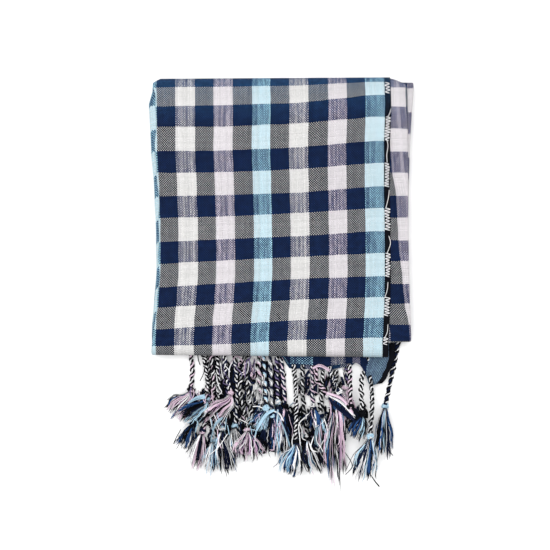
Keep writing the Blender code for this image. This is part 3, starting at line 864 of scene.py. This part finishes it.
class Shader:
    """A material's node tree, and the one way in which its nodes are made."""

    def __init__(self, name):
        self.material = bpy.data.materials.new(name)
        self.material.use_nodes = True
        self.tree = self.material.node_tree
        self.surface = self.tree.nodes["Principled BSDF"]

    def fill(self, socket, value):
        """Set a socket to a number, a colour or another node's output."""
        if isinstance(value, Value):
            value = value.socket
        if isinstance(value, bpy.types.NodeSocket):
            self.tree.links.new(value, socket)
        elif isinstance(value, tuple) and len(value) == 3 and socket.type == "RGBA":
            socket.default_value = (*value, 1.0)
        else:
            socket.default_value = value

    def node(self, kind, settings=None, out=0, **values):
        """Make a node, with its settings first and then the values or links of its sockets."""
        made = self.tree.nodes.new(kind)
        for name, setting in (settings or {}).items():
            if name == "stops":
                self.set_stops(made.color_ramp, setting)
            else:
                setattr(made, name, setting)
        for name, value in values.items():
            key = int(name[1:]) if name[1:].isdigit() else name.replace("_", " ")
            self.fill(made.inputs[key], value)
        return Value(self, made.outputs[out])

    def set_stops(self, ramp, stops):
        """Give a ramp its stops, each a place and a colour, which hold until the next one."""
        ramp.interpolation = "CONSTANT"
        while len(ramp.elements) < len(stops):
            ramp.elements.new(1.0)
        for element, (place, colour) in zip(ramp.elements, stops):
            element.position = place
            element.color = (*colour, 1.0)

    def maths(self, operation, *values):
        """A maths node on up to three values."""
        sockets = {f"i{i}": value for i, value in enumerate(values)}
        return self.node("ShaderNodeMath", {"operation": operation}, **sockets)

    def mix(self, share, first, second, blend="MIX"):
        """Mix two colours."""
        settings = {"data_type": "RGBA", "blend_type": blend}
        return self.node("ShaderNodeMix", settings, out=2, i0=share, i6=first, i7=second)

    def tint(self, colour, tone):
        """Make a colour lighter or darker."""
        grey = self.node("ShaderNodeCombineColor", Red=tone, Green=tone, Blue=tone)
        return self.mix(1.0, colour, grey, blend="MULTIPLY")

    def uv_places(self, name):
        """A piece's UV map, and its two coordinates as numbers."""
        uv = self.node("ShaderNodeUVMap", {"uv_map": name})
        across = self.node("ShaderNodeSeparateXYZ", Vector=uv)
        return uv, across, Value(self, across.socket.node.outputs[1])

    def finish(self, **values):
        """Link the results to the surface's sockets and return the material."""
        for name, value in values.items():
            self.fill(self.surface.inputs[name.replace("_", " ")], value)
        return self.material


def maths_method(operation, reflected=False):
    """A method that adds a maths node on a value and what it is joined with."""
    def method(value, *others):
        values = (*others, value) if reflected else (value, *others)
        return value.shader.maths(operation, *values)
    return method


class Value:
    """A number that varies over a surface, so that shader maths reads as plain arithmetic."""

    def __init__(self, shader, socket):
        self.shader = shader
        self.socket = socket

    __add__ = maths_method("ADD")
    __radd__ = maths_method("ADD", reflected=True)
    __sub__ = maths_method("SUBTRACT")
    __rsub__ = maths_method("SUBTRACT", reflected=True)
    __mul__ = maths_method("MULTIPLY")
    __rmul__ = maths_method("MULTIPLY", reflected=True)
    __truediv__ = maths_method("DIVIDE")
    __mod__ = maths_method("FLOORED_MODULO")
    __lt__ = maths_method("LESS_THAN")
    __gt__ = maths_method("GREATER_THAN")
    floor = maths_method("FLOOR")
    abs = maths_method("ABSOLUTE")
    sin = maths_method("SINE")
    most = maths_method("MAXIMUM")
    least = maths_method("MINIMUM")


def noise(shader, vector, scale):
    """Soft noise from -0.5 to 0.5 over a surface."""
    return shader.node("ShaderNodeTexNoise", Vector=vector, Scale=scale, Detail=2.0) - 0.5


def yarn_random(shader, number, seed):
    """A random number from -0.5 to 0.5 for each yarn, or for each crossing of two yarns."""
    place = shader.node("ShaderNodeCombineXYZ", X=number, Y=seed)
    return shader.node("ShaderNodeTexWhiteNoise", {"noise_dimensions": "2D"}, Vector=place) - 0.5


def weave_material():
    """Plain-woven cotton: striped warp, rowed weft, each yarn's own shade, and its roundness as bump and
    painted shade.
    """
    shader = Shader("checked_cotton")
    uv, woven_x, woven_y = shader.uv_places("weave")
    across = (woven_x / MM - SELVAGE) / WARP_PITCH + noise(shader, uv, WARP_NOISE) * WARP_DRIFT
    along = woven_y / MM / WEFT_PITCH + noise(shader, uv, WEFT_NOISE) * WEFT_DRIFT
    warp_number = across.floor()
    weft_number = along.floor()
    warp_middle = warp_number + 0.5
    checker = (across * math.pi).sin() * (along * math.pi).sin()
    swell = checker.abs()

    # which stripe each warp yarn belongs to, and which row each weft yarn
    count = len(STRIPE_COLOURS)
    stops = [(place / count, colour) for place, colour in enumerate(STRIPE_COLOURS)]
    stripe_place = (warp_middle / float(count * STRIPE_YARNS)) % 1.0
    in_selvage = warp_middle < 0.0
    warp_colour = shader.node("ShaderNodeValToRGB", {"stops": stops}, Fac=stripe_place)
    warp_colour = shader.mix(in_selvage, warp_colour, BLACK)
    dark_warp = (((warp_middle / STRIPE_YARNS).floor() % 2.0) > 0.5).most(in_selvage)
    in_band = shader.node("ShaderNodeAttribute", {"attribute_name": "end_band"}, out=2) > 0.5
    light_weft = ((weft_number + 0.5) % float(PAIR_PICKS)) < float(LIGHT_PICKS)
    light_weft = light_weft * (1.0 - in_band)
    weft_colour = shader.mix(light_weft, NAVY_WEFT, WHITE)

    # the warp covers more of a dark stripe's light rows and less of a light stripe's dark rows, so dark
    # shows over more than half of each crossing: partly the warp's density and partly painted shade between
    # the yarns
    dark_on_light = dark_warp * light_weft
    light_on_dark = (1.0 - dark_warp) * (1.0 - light_weft)
    strand = shader.node("ShaderNodeCombineXYZ", X=warp_number * STRAND_APART, Y=along * STRAND_STRETCH)
    uneven = yarn_random(shader, warp_number, SHARE_SEED) + STRAND_UNEVEN * noise(shader, strand, 1.0)
    crossing = yarn_random(shader, warp_number, weft_number)
    varies = CROSSING_DARK * dark_on_light + CROSSING_LIGHT * light_on_dark + CROSSING_ALL
    warp_share = 0.5 + DARK_WARP_GAIN * dark_on_light - LIGHT_WARP_LOSS * light_on_dark
    warp_share = warp_share + uneven * (UNEVEN_LIGHT * light_on_dark + UNEVEN_ALL) + crossing * varies
    warp_share = warp_share - BAND_WARP_LOSS * light_on_dark * in_band
    warp_share = warp_share + CLOUDS * noise(shader, uv, CLOUD_NOISE) + in_selvage
    warp_seen = (0.5 + (checker + (warp_share - 0.5) * SHARE_REACH) * MASK_EDGE).most(0.0).least(1.0)

    warp_tone = 1.0 + WARP_TONE * yarn_random(shader, warp_number, WARP_SEED)
    weft_tone = 1.0 + WEFT_TONE * yarn_random(shader, weft_number, WEFT_SEED)
    streak = shader.node("ShaderNodeCombineXYZ", X=across * STREAK_WIDTH, Y=along * STREAK_STRETCH)
    fibre = 1.0 + FIBRE_TONE * noise(shader, streak, 1.0) + CROSSING_TONE * crossing
    dark_seen = warp_seen * dark_warp + (1.0 - warp_seen) * (1.0 - light_weft)
    flecks = noise(shader, uv, FLECK_NOISE) + noise(shader, uv, PATCH_NOISE)
    tone = (warp_seen * warp_tone + (1.0 - warp_seen) * weft_tone) * fibre
    # painted shade: each yarn darkens towards the gaps between the yarns and lightens on its crown
    tone = tone * (GAP_SHADE_TONE + CROWN_LIGHT_TONE * swell) * (1.0 + FLECK_TONE * flecks * dark_seen)

    # the end bands are greyed beside the selvage, and the dark yarns take a painted sheen towards the outer
    # top fold, where the cloth rounds over
    colour = shader.mix(warp_seen, weft_colour, warp_colour)
    first_stripe = (warp_middle < STRIPE_YARNS) * (warp_middle > 0.0)
    # the end band's first stripe beside the selvage is greyed towards STEEL
    colour = shader.mix(GREYED_SHARE * in_band * first_stripe, colour, STEEL)
    # painted sheen: the dark yarns lighten towards the outer top fold
    fold_sheen = (1.0 - woven_y / MM / SHEEN_ROWS).most(0.0).least(1.0)
    colour = shader.tint(shader.mix(fold_sheen * dark_seen * SHEEN_STRENGTH, colour, SHEEN_NAVY), tone)

    bump = shader.node("ShaderNodeBump", Strength=0.35, Distance=WEAVE_RELIEF, Height=swell)
    roughness = 0.9 + 0.08 * noise(shader, uv, ROUGH_NOISE)
    return shader.finish(Base_Color=colour, Roughness=roughness, Normal=bump, Specular_IOR_Level=0.1)


def yarn_material():
    """Cotton yarn and cord: each strand's own dye, its twist and a little fluff."""
    shader = Shader("fringe_yarn")
    _, around, along = shader.uv_places("strand")
    dye_colour = shader.node("ShaderNodeAttribute", {"attribute_name": "dye"})
    turns = around * math.tau * TWIST_LINES + along / MM * TWIST_SLANT
    twist = (turns.sin() + 1.0) * 0.5
    place = shader.node("ShaderNodeTexCoord", out=3)
    fluff = noise(shader, place, FLECK_NOISE)
    colour = shader.tint(dye_colour, 0.84 + 0.34 * twist + 0.5 * fluff)
    bump = shader.node("ShaderNodeBump", Strength=0.5, Distance=YARN_RELIEF, Height=twist)
    roughness = 0.85 + 0.1 * fluff
    return shader.finish(Base_Color=colour, Roughness=roughness, Normal=bump, Specular_IOR_Level=0.1)


def end_point(u, station, past):
    """A point just past an end of the cloth, in line with the hem."""
    x = edge_x(u, station.left, station.right)
    z = sheet_height(u, station.low)
    return finish_point(u, x, station_y(station, u, x), z, station.low) - Vector((0, past * MM, 0))


def root_u(cord, station):
    """Place along the width, on the cord's own panel, that lies at the cord's root."""
    if cord.panel == "top":
        start, end = 0.0, TOP_END_U
    elif cord.panel == "under":
        start, end = UNDER_START_U, UNDER_END_U
    else:
        start, end = INNER_START_U, CLOTH_WIDTH
    places = np.linspace(start + 2 * ROOT_HALF, end - 2 * ROOT_HALF, ROOT_TRIES)
    gaps = [abs(edge_x(u, station.left, station.right) - cord.root) for u in places]
    return float(places[int(np.argmin(gaps))])


def distances(points):
    """How far along a line each of its points lies."""
    steps = np.linalg.norm(np.diff(points, axis=0), axis=1)
    return np.concatenate([[0], np.cumsum(steps)])


def sideways(path):
    """Unit direction to the side at each point of a path on the plan."""
    ways = np.gradient(path, axis=0)
    ways /= np.linalg.norm(ways, axis=1)[:, None]
    return np.column_stack([-ways[:, 1], ways[:, 0]])


def centre_line(path, low, half):
    """A strand's centre line, from its path and its underside, with its heights evened out a little."""
    points = np.column_stack([path, low + half])
    points[1:-1, 2] = (points[:-2, 2] + 2 * points[1:-1, 2] + points[2:, 2]) / 4
    return points


def smooth_path(points, step):
    """Even points, about a step apart, on a smooth curve through the given ones."""
    knots = np.array([(p[0], p[1]) for p in points], float)
    padded = np.vstack([2 * knots[0] - knots[1], knots, 2 * knots[-1] - knots[-2]])
    curve = []
    for i in range(len(knots) - 1):
        a, b, c, d = padded[i:i + 4]
        for t in np.linspace(0, 1, CURVE_STEPS, endpoint=False):
            curve.append(0.5 * (2 * b + (c - a) * t + (2 * a - 5 * b + 4 * c - d) * t ** 2
                                + (3 * b - a - 3 * c + d) * t ** 3))
    curve.append(knots[-1])
    curve = np.array(curve)
    lengths = distances(curve)
    count = max(2, round(lengths[-1] / step) + 1)
    places = np.linspace(0, lengths[-1], count)
    return np.column_stack([np.interp(places, lengths, curve[:, axis]) for axis in (0, 1)])


class Ground:
    """The height of all that already lies on the table, so that the next strand lies over it."""

    LOW_X, HIGH_X, LOW_Y, HIGH_Y = 140, 440, 325, 515

    def __init__(self):
        wide = int((self.HIGH_X - self.LOW_X) / CELL)
        tall = int((self.HIGH_Y - self.LOW_Y) / CELL)
        self.cells = np.zeros((tall, wide))

    def window(self, place, half):
        """The cells round a place, and which of them lie within half a strand's width of it."""
        i = int((place[1] - self.LOW_Y) / CELL)
        j = int((place[0] - self.LOW_X) / CELL)
        reach = int(half / CELL) + 1
        rows = slice(max(0, i - reach), i + reach + 1)
        columns = slice(max(0, j - reach), j + reach + 1)
        ys, xs = np.mgrid[rows, columns]
        tall, wide = self.cells[rows, columns].shape
        ys = ys[:tall, :wide]
        xs = xs[:tall, :wide]
        return rows, columns, np.hypot(ys - i, xs - j) * CELL <= half + CELL / 2

    def drape(self, path, half, start, first=0.0):
        """Heights of a strand's underside: it sinks to the table or to what lies under it."""
        needed = []
        for place in path:
            rows, columns, inside = self.window(place, half)
            cells = self.cells[rows, columns][inside]
            needed.append(cells.max() if cells.size else 0.0)
        needed = np.array(needed) + CLEARANCE
        lengths = distances(path)
        gaps = np.abs(lengths[:, None] - lengths[None, :])
        clear = lengths >= first
        heights = (np.where(clear, needed, 0.0)[None, :] - DRAPE_SLOPE * gaps).max(axis=1)
        heights = np.maximum(heights, start - DRAPE_SLOPE * lengths)
        return np.maximum(heights, 0.0)

    def lay(self, path, half, tops):
        """Remember a strand that now lies along a path."""
        for place, top in zip(path, tops):
            rows, columns, inside = self.window(place, half)
            spot = self.cells[rows, columns]
            spot[inside] = np.maximum(spot[inside], top)


def frames_along(points):
    """Unit directions to the side and up at each point of a strand's centre line."""
    ways = np.gradient(points, axis=0)
    ways /= np.linalg.norm(ways, axis=1)[:, None]
    sides = np.cross(ways, (0.0, 0.0, 1.0))
    sides /= np.maximum(np.linalg.norm(sides, axis=1), TINY)[:, None]
    return sides, np.cross(sides, ways)


class Strands:
    """Many round strands in one mesh, each with its dye and its own coordinates."""

    def __init__(self, name):
        self.name = name
        self.whole = bmesh.new()
        self.start()

    def start(self):
        """Begin a small batch, in which each new strand is quick to make."""
        self.batch = bmesh.new()
        self.uv = self.batch.loops.layers.uv.new("strand")
        self.dye = self.batch.verts.layers.float_color.new("dye")

    def gather(self):
        """Move the batch's strands into the whole."""
        mesh = bpy.data.meshes.new(self.name)
        self.batch.to_mesh(mesh)
        self.batch.free()
        self.whole.from_mesh(mesh)
        bpy.data.meshes.remove(mesh)

    def add(self, points, radii, sides, colour):
        """Roll a grid up along a centre line, given as plan x, plan y and height, and close its ends."""
        if len(self.batch.verts) > BATCH:
            self.gather()
            self.start()
        count = len(points)
        made = bmesh.ops.create_grid(self.batch, x_segments=sides, y_segments=count - 1, size=1.0)["verts"]
        side, up = frames_along(points)
        lengths = distances(points)
        radii = np.broadcast_to(np.asarray(radii, float), (count,)).copy()
        radii[0] = 0.0
        radii[-1] = 0.0
        turns = np.linspace(0, 2 * math.pi, sides + 1)
        marks = {}
        for vert in made:
            i = round((vert.co.x + 1) / 2 * sides)
            j = round((vert.co.y + 1) / 2 * (count - 1))
            angle = turns[i % sides]
            spot = points[j] + radii[j] * (math.cos(angle) * side[j] + math.sin(angle) * up[j])
            vert.co = on_plan(*spot)
            vert[self.dye] = (*colour, 1.0)
            marks[vert] = (i / sides, lengths[j] * MM)
        for face in {face for vert in made for face in vert.link_faces}:
            face.smooth = True
            for loop in face.loops:
                loop[self.uv].uv = marks[loop.vert]

    def twist(self, points, colours, radius, offset, pitch, start):
        """Plies wound round each other along a centre line."""
        side, up = frames_along(points)
        lengths = distances(points)
        hand = 1 if start > math.pi else -1
        for ply, colour in enumerate(colours):
            angle = start + hand * 2 * math.pi * (lengths / pitch + ply / len(colours))
            ring = offset * (np.cos(angle)[:, None] * side + np.sin(angle)[:, None] * up)
            beat = SWELL_BEAT + SWELL_BEAT_STEP * ply
            swell = 1 + PLY_SWELL * np.sin(lengths * beat + SWELL_SHIFT * ply + start)
            size = PLY_SIZES.get(colour, 1.0)
            self.add(points + ring, radius * swell * size, PLY_SIDES, DYES[colour])

    def finish(self):
        """Weld the seams and make the object."""
        self.gather()
        bmesh.ops.remove_doubles(self.whole, verts=self.whole.verts, dist=WELD)
        bmesh.ops.recalc_face_normals(self.whole, faces=self.whole.faces)
        return mesh_object(self.name, self.whole)


def lay_knot(strands, place, way, base, colours, chance):
    """A cord's knot: the cord wound twice round itself."""
    shares = np.linspace(0, 1, KNOT_STEPS)
    angle = 2 * math.pi * KNOT_TURNS * shares + chance.uniform(*ANY_PHASE)
    side = np.array([-way[1], way[0], 0.0])
    forward = np.array([way[0], way[1], 0.0])
    up = np.array([0.0, 0.0, 1.0])
    middle = np.array([place[0], place[1], base + KNOT_HALF])
    ring = KNOT_RING * (0.5 + 0.5 * np.sin(math.pi * shares))
    points = (middle + np.outer(KNOT_LENGTH * shares, forward)
              + (ring * np.cos(angle))[:, None] * side + (ring * np.sin(angle))[:, None] * up)
    strands.twist(points, colours, KNOT_PLY_RADIUS, KNOT_PLY_OFFSET, TWIST, chance.uniform(*KNOT_START))


def yarn_path(knot, way, cord, spread, chance):
    """One yarn of a tassel, from the knot to its tip, a little wavy."""
    tip_way = np.array([cord.tip_x, cord.tip_y], float) - knot
    length = np.linalg.norm(tip_way)
    side = np.array([-tip_way[1], tip_way[0]]) / length
    stretch = chance.uniform(*YARN_STRETCH) * (1 - SIDE_SHORTER * spread ** 2)
    reach = cord.fan * FAN * spread
    start = knot + side * spread * ROOT_SPREAD
    neck = start + (way + tip_way / length) * NECK_PLACE * length + side * reach * NECK_REACH
    middle = knot + tip_way * MIDDLE_PLACE * stretch + side * reach * chance.uniform(*MIDDLE_REACH)
    end = knot + tip_way * stretch + side * reach * chance.uniform(*TIP_REACH)
    end += np.array([chance.gauss(0, TIP_SCATTER_X), chance.gauss(0, TIP_SCATTER_Y)])
    path = smooth_path([start, neck, middle, end], length * stretch / YARN_STEPS)
    waves = chance.uniform(*YARN_WAVES)
    phase = chance.uniform(*ANY_PHASE)
    shares = np.linspace(0, 1, len(path))
    bend = chance.uniform(*YARN_BEND) * shares ** YARN_BEND_GROWTH
    bend = bend * np.sin(phase + 2 * math.pi * waves * shares)
    return path + sideways(path) * bend[:, None]


def lay_yarn(strands, ground, path, radius, start, first, letter, chance, limit=PILE_LIMIT):
    """One loose yarn, draped over what lies under it."""
    low = np.minimum(ground.drape(path, radius, start, first), limit)
    points = centre_line(path, low, radius)
    tone = chance.uniform(*YARN_TONE)
    colour = tuple(min(1.0, channel * tone) for channel in DYES[letter])
    strands.add(points, radius, YARN_SIDES, colour)
    ground.lay(path, radius, low + 2 * radius * YARN_SINK)


def lay_clump(strands, ground, path, base, letter, chance):
    """A few yarns of one dye that run side by side."""
    normals = sideways(path)
    shares = np.linspace(0, 1, len(path))
    for _ in range(chance.randint(*CLUMP_YARNS)):
        offset = chance.gauss(0, CLUMP_SPREAD) * (CLUMP_NECK + CLUMP_OPENING * shares)
        wave = chance.uniform(*CLUMP_WAVE)
        offset += wave * np.sin(chance.uniform(*ANY_PHASE) + CLUMP_WAVES * shares) * shares
        kept = max(CLUMP_FEWEST_POINTS, int(len(path) * chance.uniform(*CLUMP_LENGTH)))
        yarn = (path + normals * offset[:, None])[:kept]
        radius = YARN_RADIUS * chance.uniform(*CLUMP_RADIUS)
        start = base + chance.uniform(*CLUMP_LIFT)
        lay_yarn(strands, ground, yarn, radius, start, YARN_FREE, letter, chance)


def lay_tassel(strands, ground, knot, way, base, cord, chance):
    """The yarns of a tassel: dark ones first, and the ones that show over them."""
    light_clumps = CLUMPS - DARK_CLUMPS
    shares = [(i + 0.5) / light_clumps for i in range(light_clumps)]
    chance.shuffle(shares)
    shares = [chance.random() for _ in range(DARK_CLUMPS)] + shares
    for number, share in enumerate(shares):
        place = int(share * len(cord.tassel) + chance.gauss(0, DYE_SCATTER))
        letter = cord.tassel[min(len(cord.tassel) - 1, max(0, place))]
        if number < DARK_CLUMPS:
            letter = chance.choice(DARK_DYES)
        elif chance.random() < MIXED:
            letter = chance.choice(MIXED_DYES)
        letter = chance.choice(SHADES.get(letter, letter))
        path = yarn_path(knot, way, cord, 2 * share - 1, chance)
        lay_clump(strands, ground, path, base, letter, chance)
    for _ in range(WISPS):
        path = yarn_path(knot, way, cord, chance.uniform(*WISP_SPREAD), chance)
        start = base + chance.uniform(*WISP_LIFT)
        letter = chance.choice(WISP_DYES + cord.tassel)
        lay_yarn(strands, ground, path, WISP_RADIUS, start, YARN_FREE, letter, chance)


def lay_tangles(strands, ground, tangles, limit, chance):
    """Loose, curled yarns scattered over a few places of the fringe."""
    for tangle in tangles:
        for _ in range(tangle.count):
            x = chance.uniform(tangle.x1, tangle.x2)
            y = chance.uniform(tangle.y1, tangle.y2 - TANGLE_RUN)
            places = [(x, y)]
            for _ in range(chance.randint(*TANGLE_BENDS)):
                x += chance.gauss(0, TANGLE_WANDER)
                x = min(tangle.x2 + TANGLE_SIDE, max(tangle.x1 - TANGLE_SIDE, x))
                y += chance.gauss(TANGLE_RUN, TANGLE_RUN_VARIES)
                y = min(tangle.y2 + TANGLE_PAST, max(tangle.y1, y))
                places.append((x, y))
            path = smooth_path(places, TANGLE_STEP)
            letter = chance.choice(tangle.dyes)
            radius = DARK_TANGLE_RADIUS if letter in "KN" else TANGLE_RADIUS
            radius *= chance.uniform(*TANGLE_VARIES)
            lay_yarn(strands, ground, path, radius, 0.0, 0.0, letter, chance, limit)


def lay_cord(strands, ground, station, cord, chance):
    """One cord from the hem to its knot, the knot, and its tassel."""
    hem_x, hem_y, hem_z = off_plan(end_point(root_u(cord, station), station, STRIP_GAP))
    path = smooth_path([(hem_x, hem_y), (cord.bend_x, cord.bend_y), (cord.knot_x, cord.knot_y)], CORD_STEP)
    way = path[-1] - path[-KNOT_LEAD]
    way /= np.linalg.norm(way)
    steps = np.arange(len(path)) * CORD_STEP
    sway = CORD_SWAY * np.sin(2 * math.pi * steps / CORD_WAVE + chance.uniform(*ANY_PHASE))
    sway *= np.clip(steps / SWAY_EASE, 0, 1) * np.clip(steps[::-1] / SWAY_EASE, 0, 1)
    path = path + np.outer(sway, (-way[1], way[0]))
    half = PLY_RADIUS + PLY_OFFSET
    low = np.minimum(ground.drape(path, half, hem_z - SHEET / 2, first=CORD_FREE), PILE_LIMIT)
    beyond = path[-1] + way * KNOT_LENGTH
    knot_path = np.vstack([path[-KNOT_LEAD:], beyond])
    knot_low = min(ground.drape(knot_path, KNOT_HALF, low[-KNOT_LEAD]).max(), PILE_LIMIT)
    rise = np.clip((np.arange(len(path)) - (len(path) - RISE_STEPS)) / RISE_STEPS, 0, 1)
    low = np.maximum(low, knot_low * rise + low * (1 - rise))
    pitch = TWIST * chance.uniform(*TWIST_VARIES)
    points = centre_line(path, low, half)
    strands.twist(points, cord.plies, PLY_RADIUS, PLY_OFFSET, pitch, chance.uniform(*ANY_PHASE))
    lay_knot(strands, path[-1], way, knot_low, cord.knot, chance)
    ground.lay(path, half, low + 2 * half * CORD_SINK)
    knot_top = knot_low + 2 * KNOT_HALF
    ground.lay(np.array([path[-1], (path[-1] + beyond) / 2, beyond]), KNOT_HALF, [knot_top] * 3)
    lay_tassel(strands, ground, beyond - way * TASSEL_OVERLAP, way, knot_low, cord, chance)


def lay_bands(strands, ground, chance):
    """The bundles of yarn that run across the tassels."""
    for band in BANDS:
        for number in range(band.count):
            shift = (number - (band.count - 1) / 2) * BAND_SPREAD / 2
            sway = chance.gauss(0, BAND_SWAY) if band.count > 1 else 0.0
            places = [
                (band.x1 + sway, band.y1 + shift * BAND_START),
                (band.x2, band.y2 + shift + sway),
                (band.x3 - sway, band.y3 + shift * BAND_END),
            ]
            path = smooth_path(places, BAND_STEP)
            lay_yarn(strands, ground, path, YARN_RADIUS, 0.0, 0.0, band.dye, chance, PILE_LIMIT + BAND_RISE)


def make_fringe(name, station, cords, tangles, ground, seed):
    """One end's fringe: loose yarns lie under the lower end's cords and over the upper end's."""
    chance = random.Random(seed)
    strands = Strands(name)
    if station is LOWER_END:
        lay_tangles(strands, ground, tangles, MAT_LIMIT, chance)
    for cord in cords:
        lay_cord(strands, ground, station, cord, chance)
    if station is UPPER_END:
        lay_tangles(strands, ground, tangles, PILE_LIMIT, chance)
        lay_bands(strands, ground, chance)
    return strands.finish()


def top_surface(u, y):
    """A point of the top layer's middle at a place along the width and a height on the plan."""
    start, end = STATIONS[1], STATIONS[2]
    start_y, end_y = layer_ends(u, start, end)
    return off_plan(run_point(u, TOP_LAYER, start, end, (y - start_y) / (end_y - start_y)))


# The weft's turns round the selvage, which show as loops over the dark edge yarns
SELVAGE_SEED = 5
FIRST_LOOP_Y = 83.0
LOOP_INNER_U = 5.4
LOOP_INNER_SWAY = (-0.8, 0.3)
LOOP_OUTER_U = 0.6
LOOP_OUTER_SWAY = (-0.6, 0.8)
LOOP_VARIES = (0.9, 1.1)
LOOP_STEP = 0.45
THREAD_STEP = 0.5
THREAD_SIDES = 6
OUTERMOST_U = 0.1
LOOP_PITCH = 2.9
LOOP_RADIUS = 0.38
THREAD_RADIUS = 0.3
LOOP_LIFT = CLOTH_THICKNESS / 2 + 0.35
LAST_LOOP_Y = 345.5
LOOSE_THREADS = (
    # the weft where it runs loose past the dark rows, as places on the plan
    ((390.7, 109.0), (389.6, 113.0), (387.5, 117.5)),
    ((386.0, 139.0), (387.6, 146.0), (386.4, 155.0), (386.8, 163.0)),
    ((388.9, 190.0), (388.0, 198.0), (385.2, 209.0)),
    ((388.4, 236.0), (390.0, 243.6), (386.7, 253.5)),
    ((387.6, 282.0), (386.8, 290.0), (384.2, 298.0)),
    ((387.6, 324.0), (386.7, 332.5), (383.2, 339.5)),
)


def make_selvage():
    """White weft that loops over the dark selvage in each light row and runs loose past each dark one."""
    chance = random.Random(SELVAGE_SEED)
    strands = Strands("selvage_weft")
    bounds = pick_heights(PICK_PLACES_U[0])
    for row in range(0, len(PICKS), 2):
        y = max(bounds[row], FIRST_LOOP_Y)
        bottom_y = bounds[row + 1] if row + 1 < len(bounds) else LAST_LOOP_Y
        zigzag = []
        while y < bottom_y:
            zigzag.append((LOOP_INNER_U + chance.uniform(*LOOP_INNER_SWAY), y))
            zigzag.append((LOOP_OUTER_U + chance.uniform(*LOOP_OUTER_SWAY), y + LOOP_PITCH / 2))
            y += LOOP_PITCH * chance.uniform(*LOOP_VARIES)
        points = [top_surface(float(u), float(y)) for u, y in smooth_path(zigzag, LOOP_STEP)]
        add_float(strands, points, LOOP_RADIUS)
    for places in LOOSE_THREADS:
        points = []
        for x, y in smooth_path(places, THREAD_STEP):
            u = max(OUTERMOST_U, SELVAGE_X + read(LEAN, "y", "right", y) - x)
            points.append((x, y, top_surface(float(u), float(y))[2]))
        add_float(strands, points, THREAD_RADIUS)
    return strands.finish()


def add_float(strands, points, radius):
    """A thread that lies on the top sheet."""
    points = np.array(points)
    points[:, 2] += LOOP_LIFT
    strands.add(points, radius, THREAD_SIDES, DYES["W"])


def make_floor():
    """A plain pale floor."""
    bm = bmesh.new()
    bmesh.ops.create_grid(bm, x_segments=1, y_segments=1, size=FLOOR_HALF)
    bmesh.ops.translate(bm, verts=bm.verts, vec=(0, 0, -FLOOR_DROP))
    floor = mesh_object("floor", bm)
    floor.data.materials.append(Shader("pale_floor").finish(Base_Color=FLOOR_COLOUR, Roughness=0.9))


# The floor, the light and its surround, and the camera, which looks straight down on the picture's middle
FLOOR_HALF = 4.0
FLOOR_DROP = 0.0002
FLOOR_COLOUR = (0.93, 0.93, 0.93)
LIGHT_PLACE = (-0.2, 0.3, 2.2)
LIGHT_SIZE = 2.4
LIGHT_POWER = 65.0
SURROUND = 0.68
CLIP_END = 20.0
LENS = 200.0
SENSOR = 36.0
PICTURE_WIDTH = 550.0
PICTURE_MIDDLE = 275.0
CAMERA_LEVEL = 14.0


def make_camera():
    """A long lens straight above, so that a millimetre of the plan is one pixel of the picture."""
    data = bpy.data.cameras.new("camera")
    data.lens = LENS
    data.sensor_width = SENSOR
    data.clip_end = CLIP_END
    camera = make_object("camera", data)
    distance = PICTURE_WIDTH * LENS / SENSOR
    camera.location = on_plan(PICTURE_MIDDLE, PICTURE_MIDDLE, distance + CAMERA_LEVEL)
    bpy.context.scene.camera = camera


def make_studio():
    """Soft light from above and a little from the upper left, with a bright surround."""
    data = bpy.data.lights.new("overhead", "AREA")
    data.size = LIGHT_SIZE
    data.energy = LIGHT_POWER
    light = make_object("overhead", data)
    light.location = LIGHT_PLACE
    light.rotation_euler = (-Vector(LIGHT_PLACE)).to_track_quat("-Z", "Y").to_euler()
    world = bpy.data.worlds.new("surround")
    world.use_nodes = True
    background = world.node_tree.nodes["Background"]
    background.inputs["Color"].default_value = (1.0, 1.0, 1.0, 1.0)
    background.inputs["Strength"].default_value = SURROUND
    bpy.context.scene.world = world
    bpy.context.scene.view_settings.view_transform = "Standard"


make_camera()
make_studio()
make_floor()

ground = Ground()
lower_fringe = make_fringe("lower_tassels", LOWER_END, LOWER_CORDS, LOW_TANGLES, ground, LOWER_SEED)
upper_fringe = make_fringe("upper_tassels", UPPER_END, UPPER_CORDS, HIGH_TANGLES, ground, UPPER_SEED)
cloth = make_cloth()
selvage = make_selvage()

cotton = weave_material()
yarn = yarn_material()
cloth.data.materials.append(cotton)
for piece in (lower_fringe, upper_fringe, selvage):
    piece.data.materials.append(yarn)

for piece in (cloth, selvage, lower_fringe, upper_fringe):
    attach(piece, "root")
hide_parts("krama_cloth")
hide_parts("fringe_lower")
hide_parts("fringe_upper")
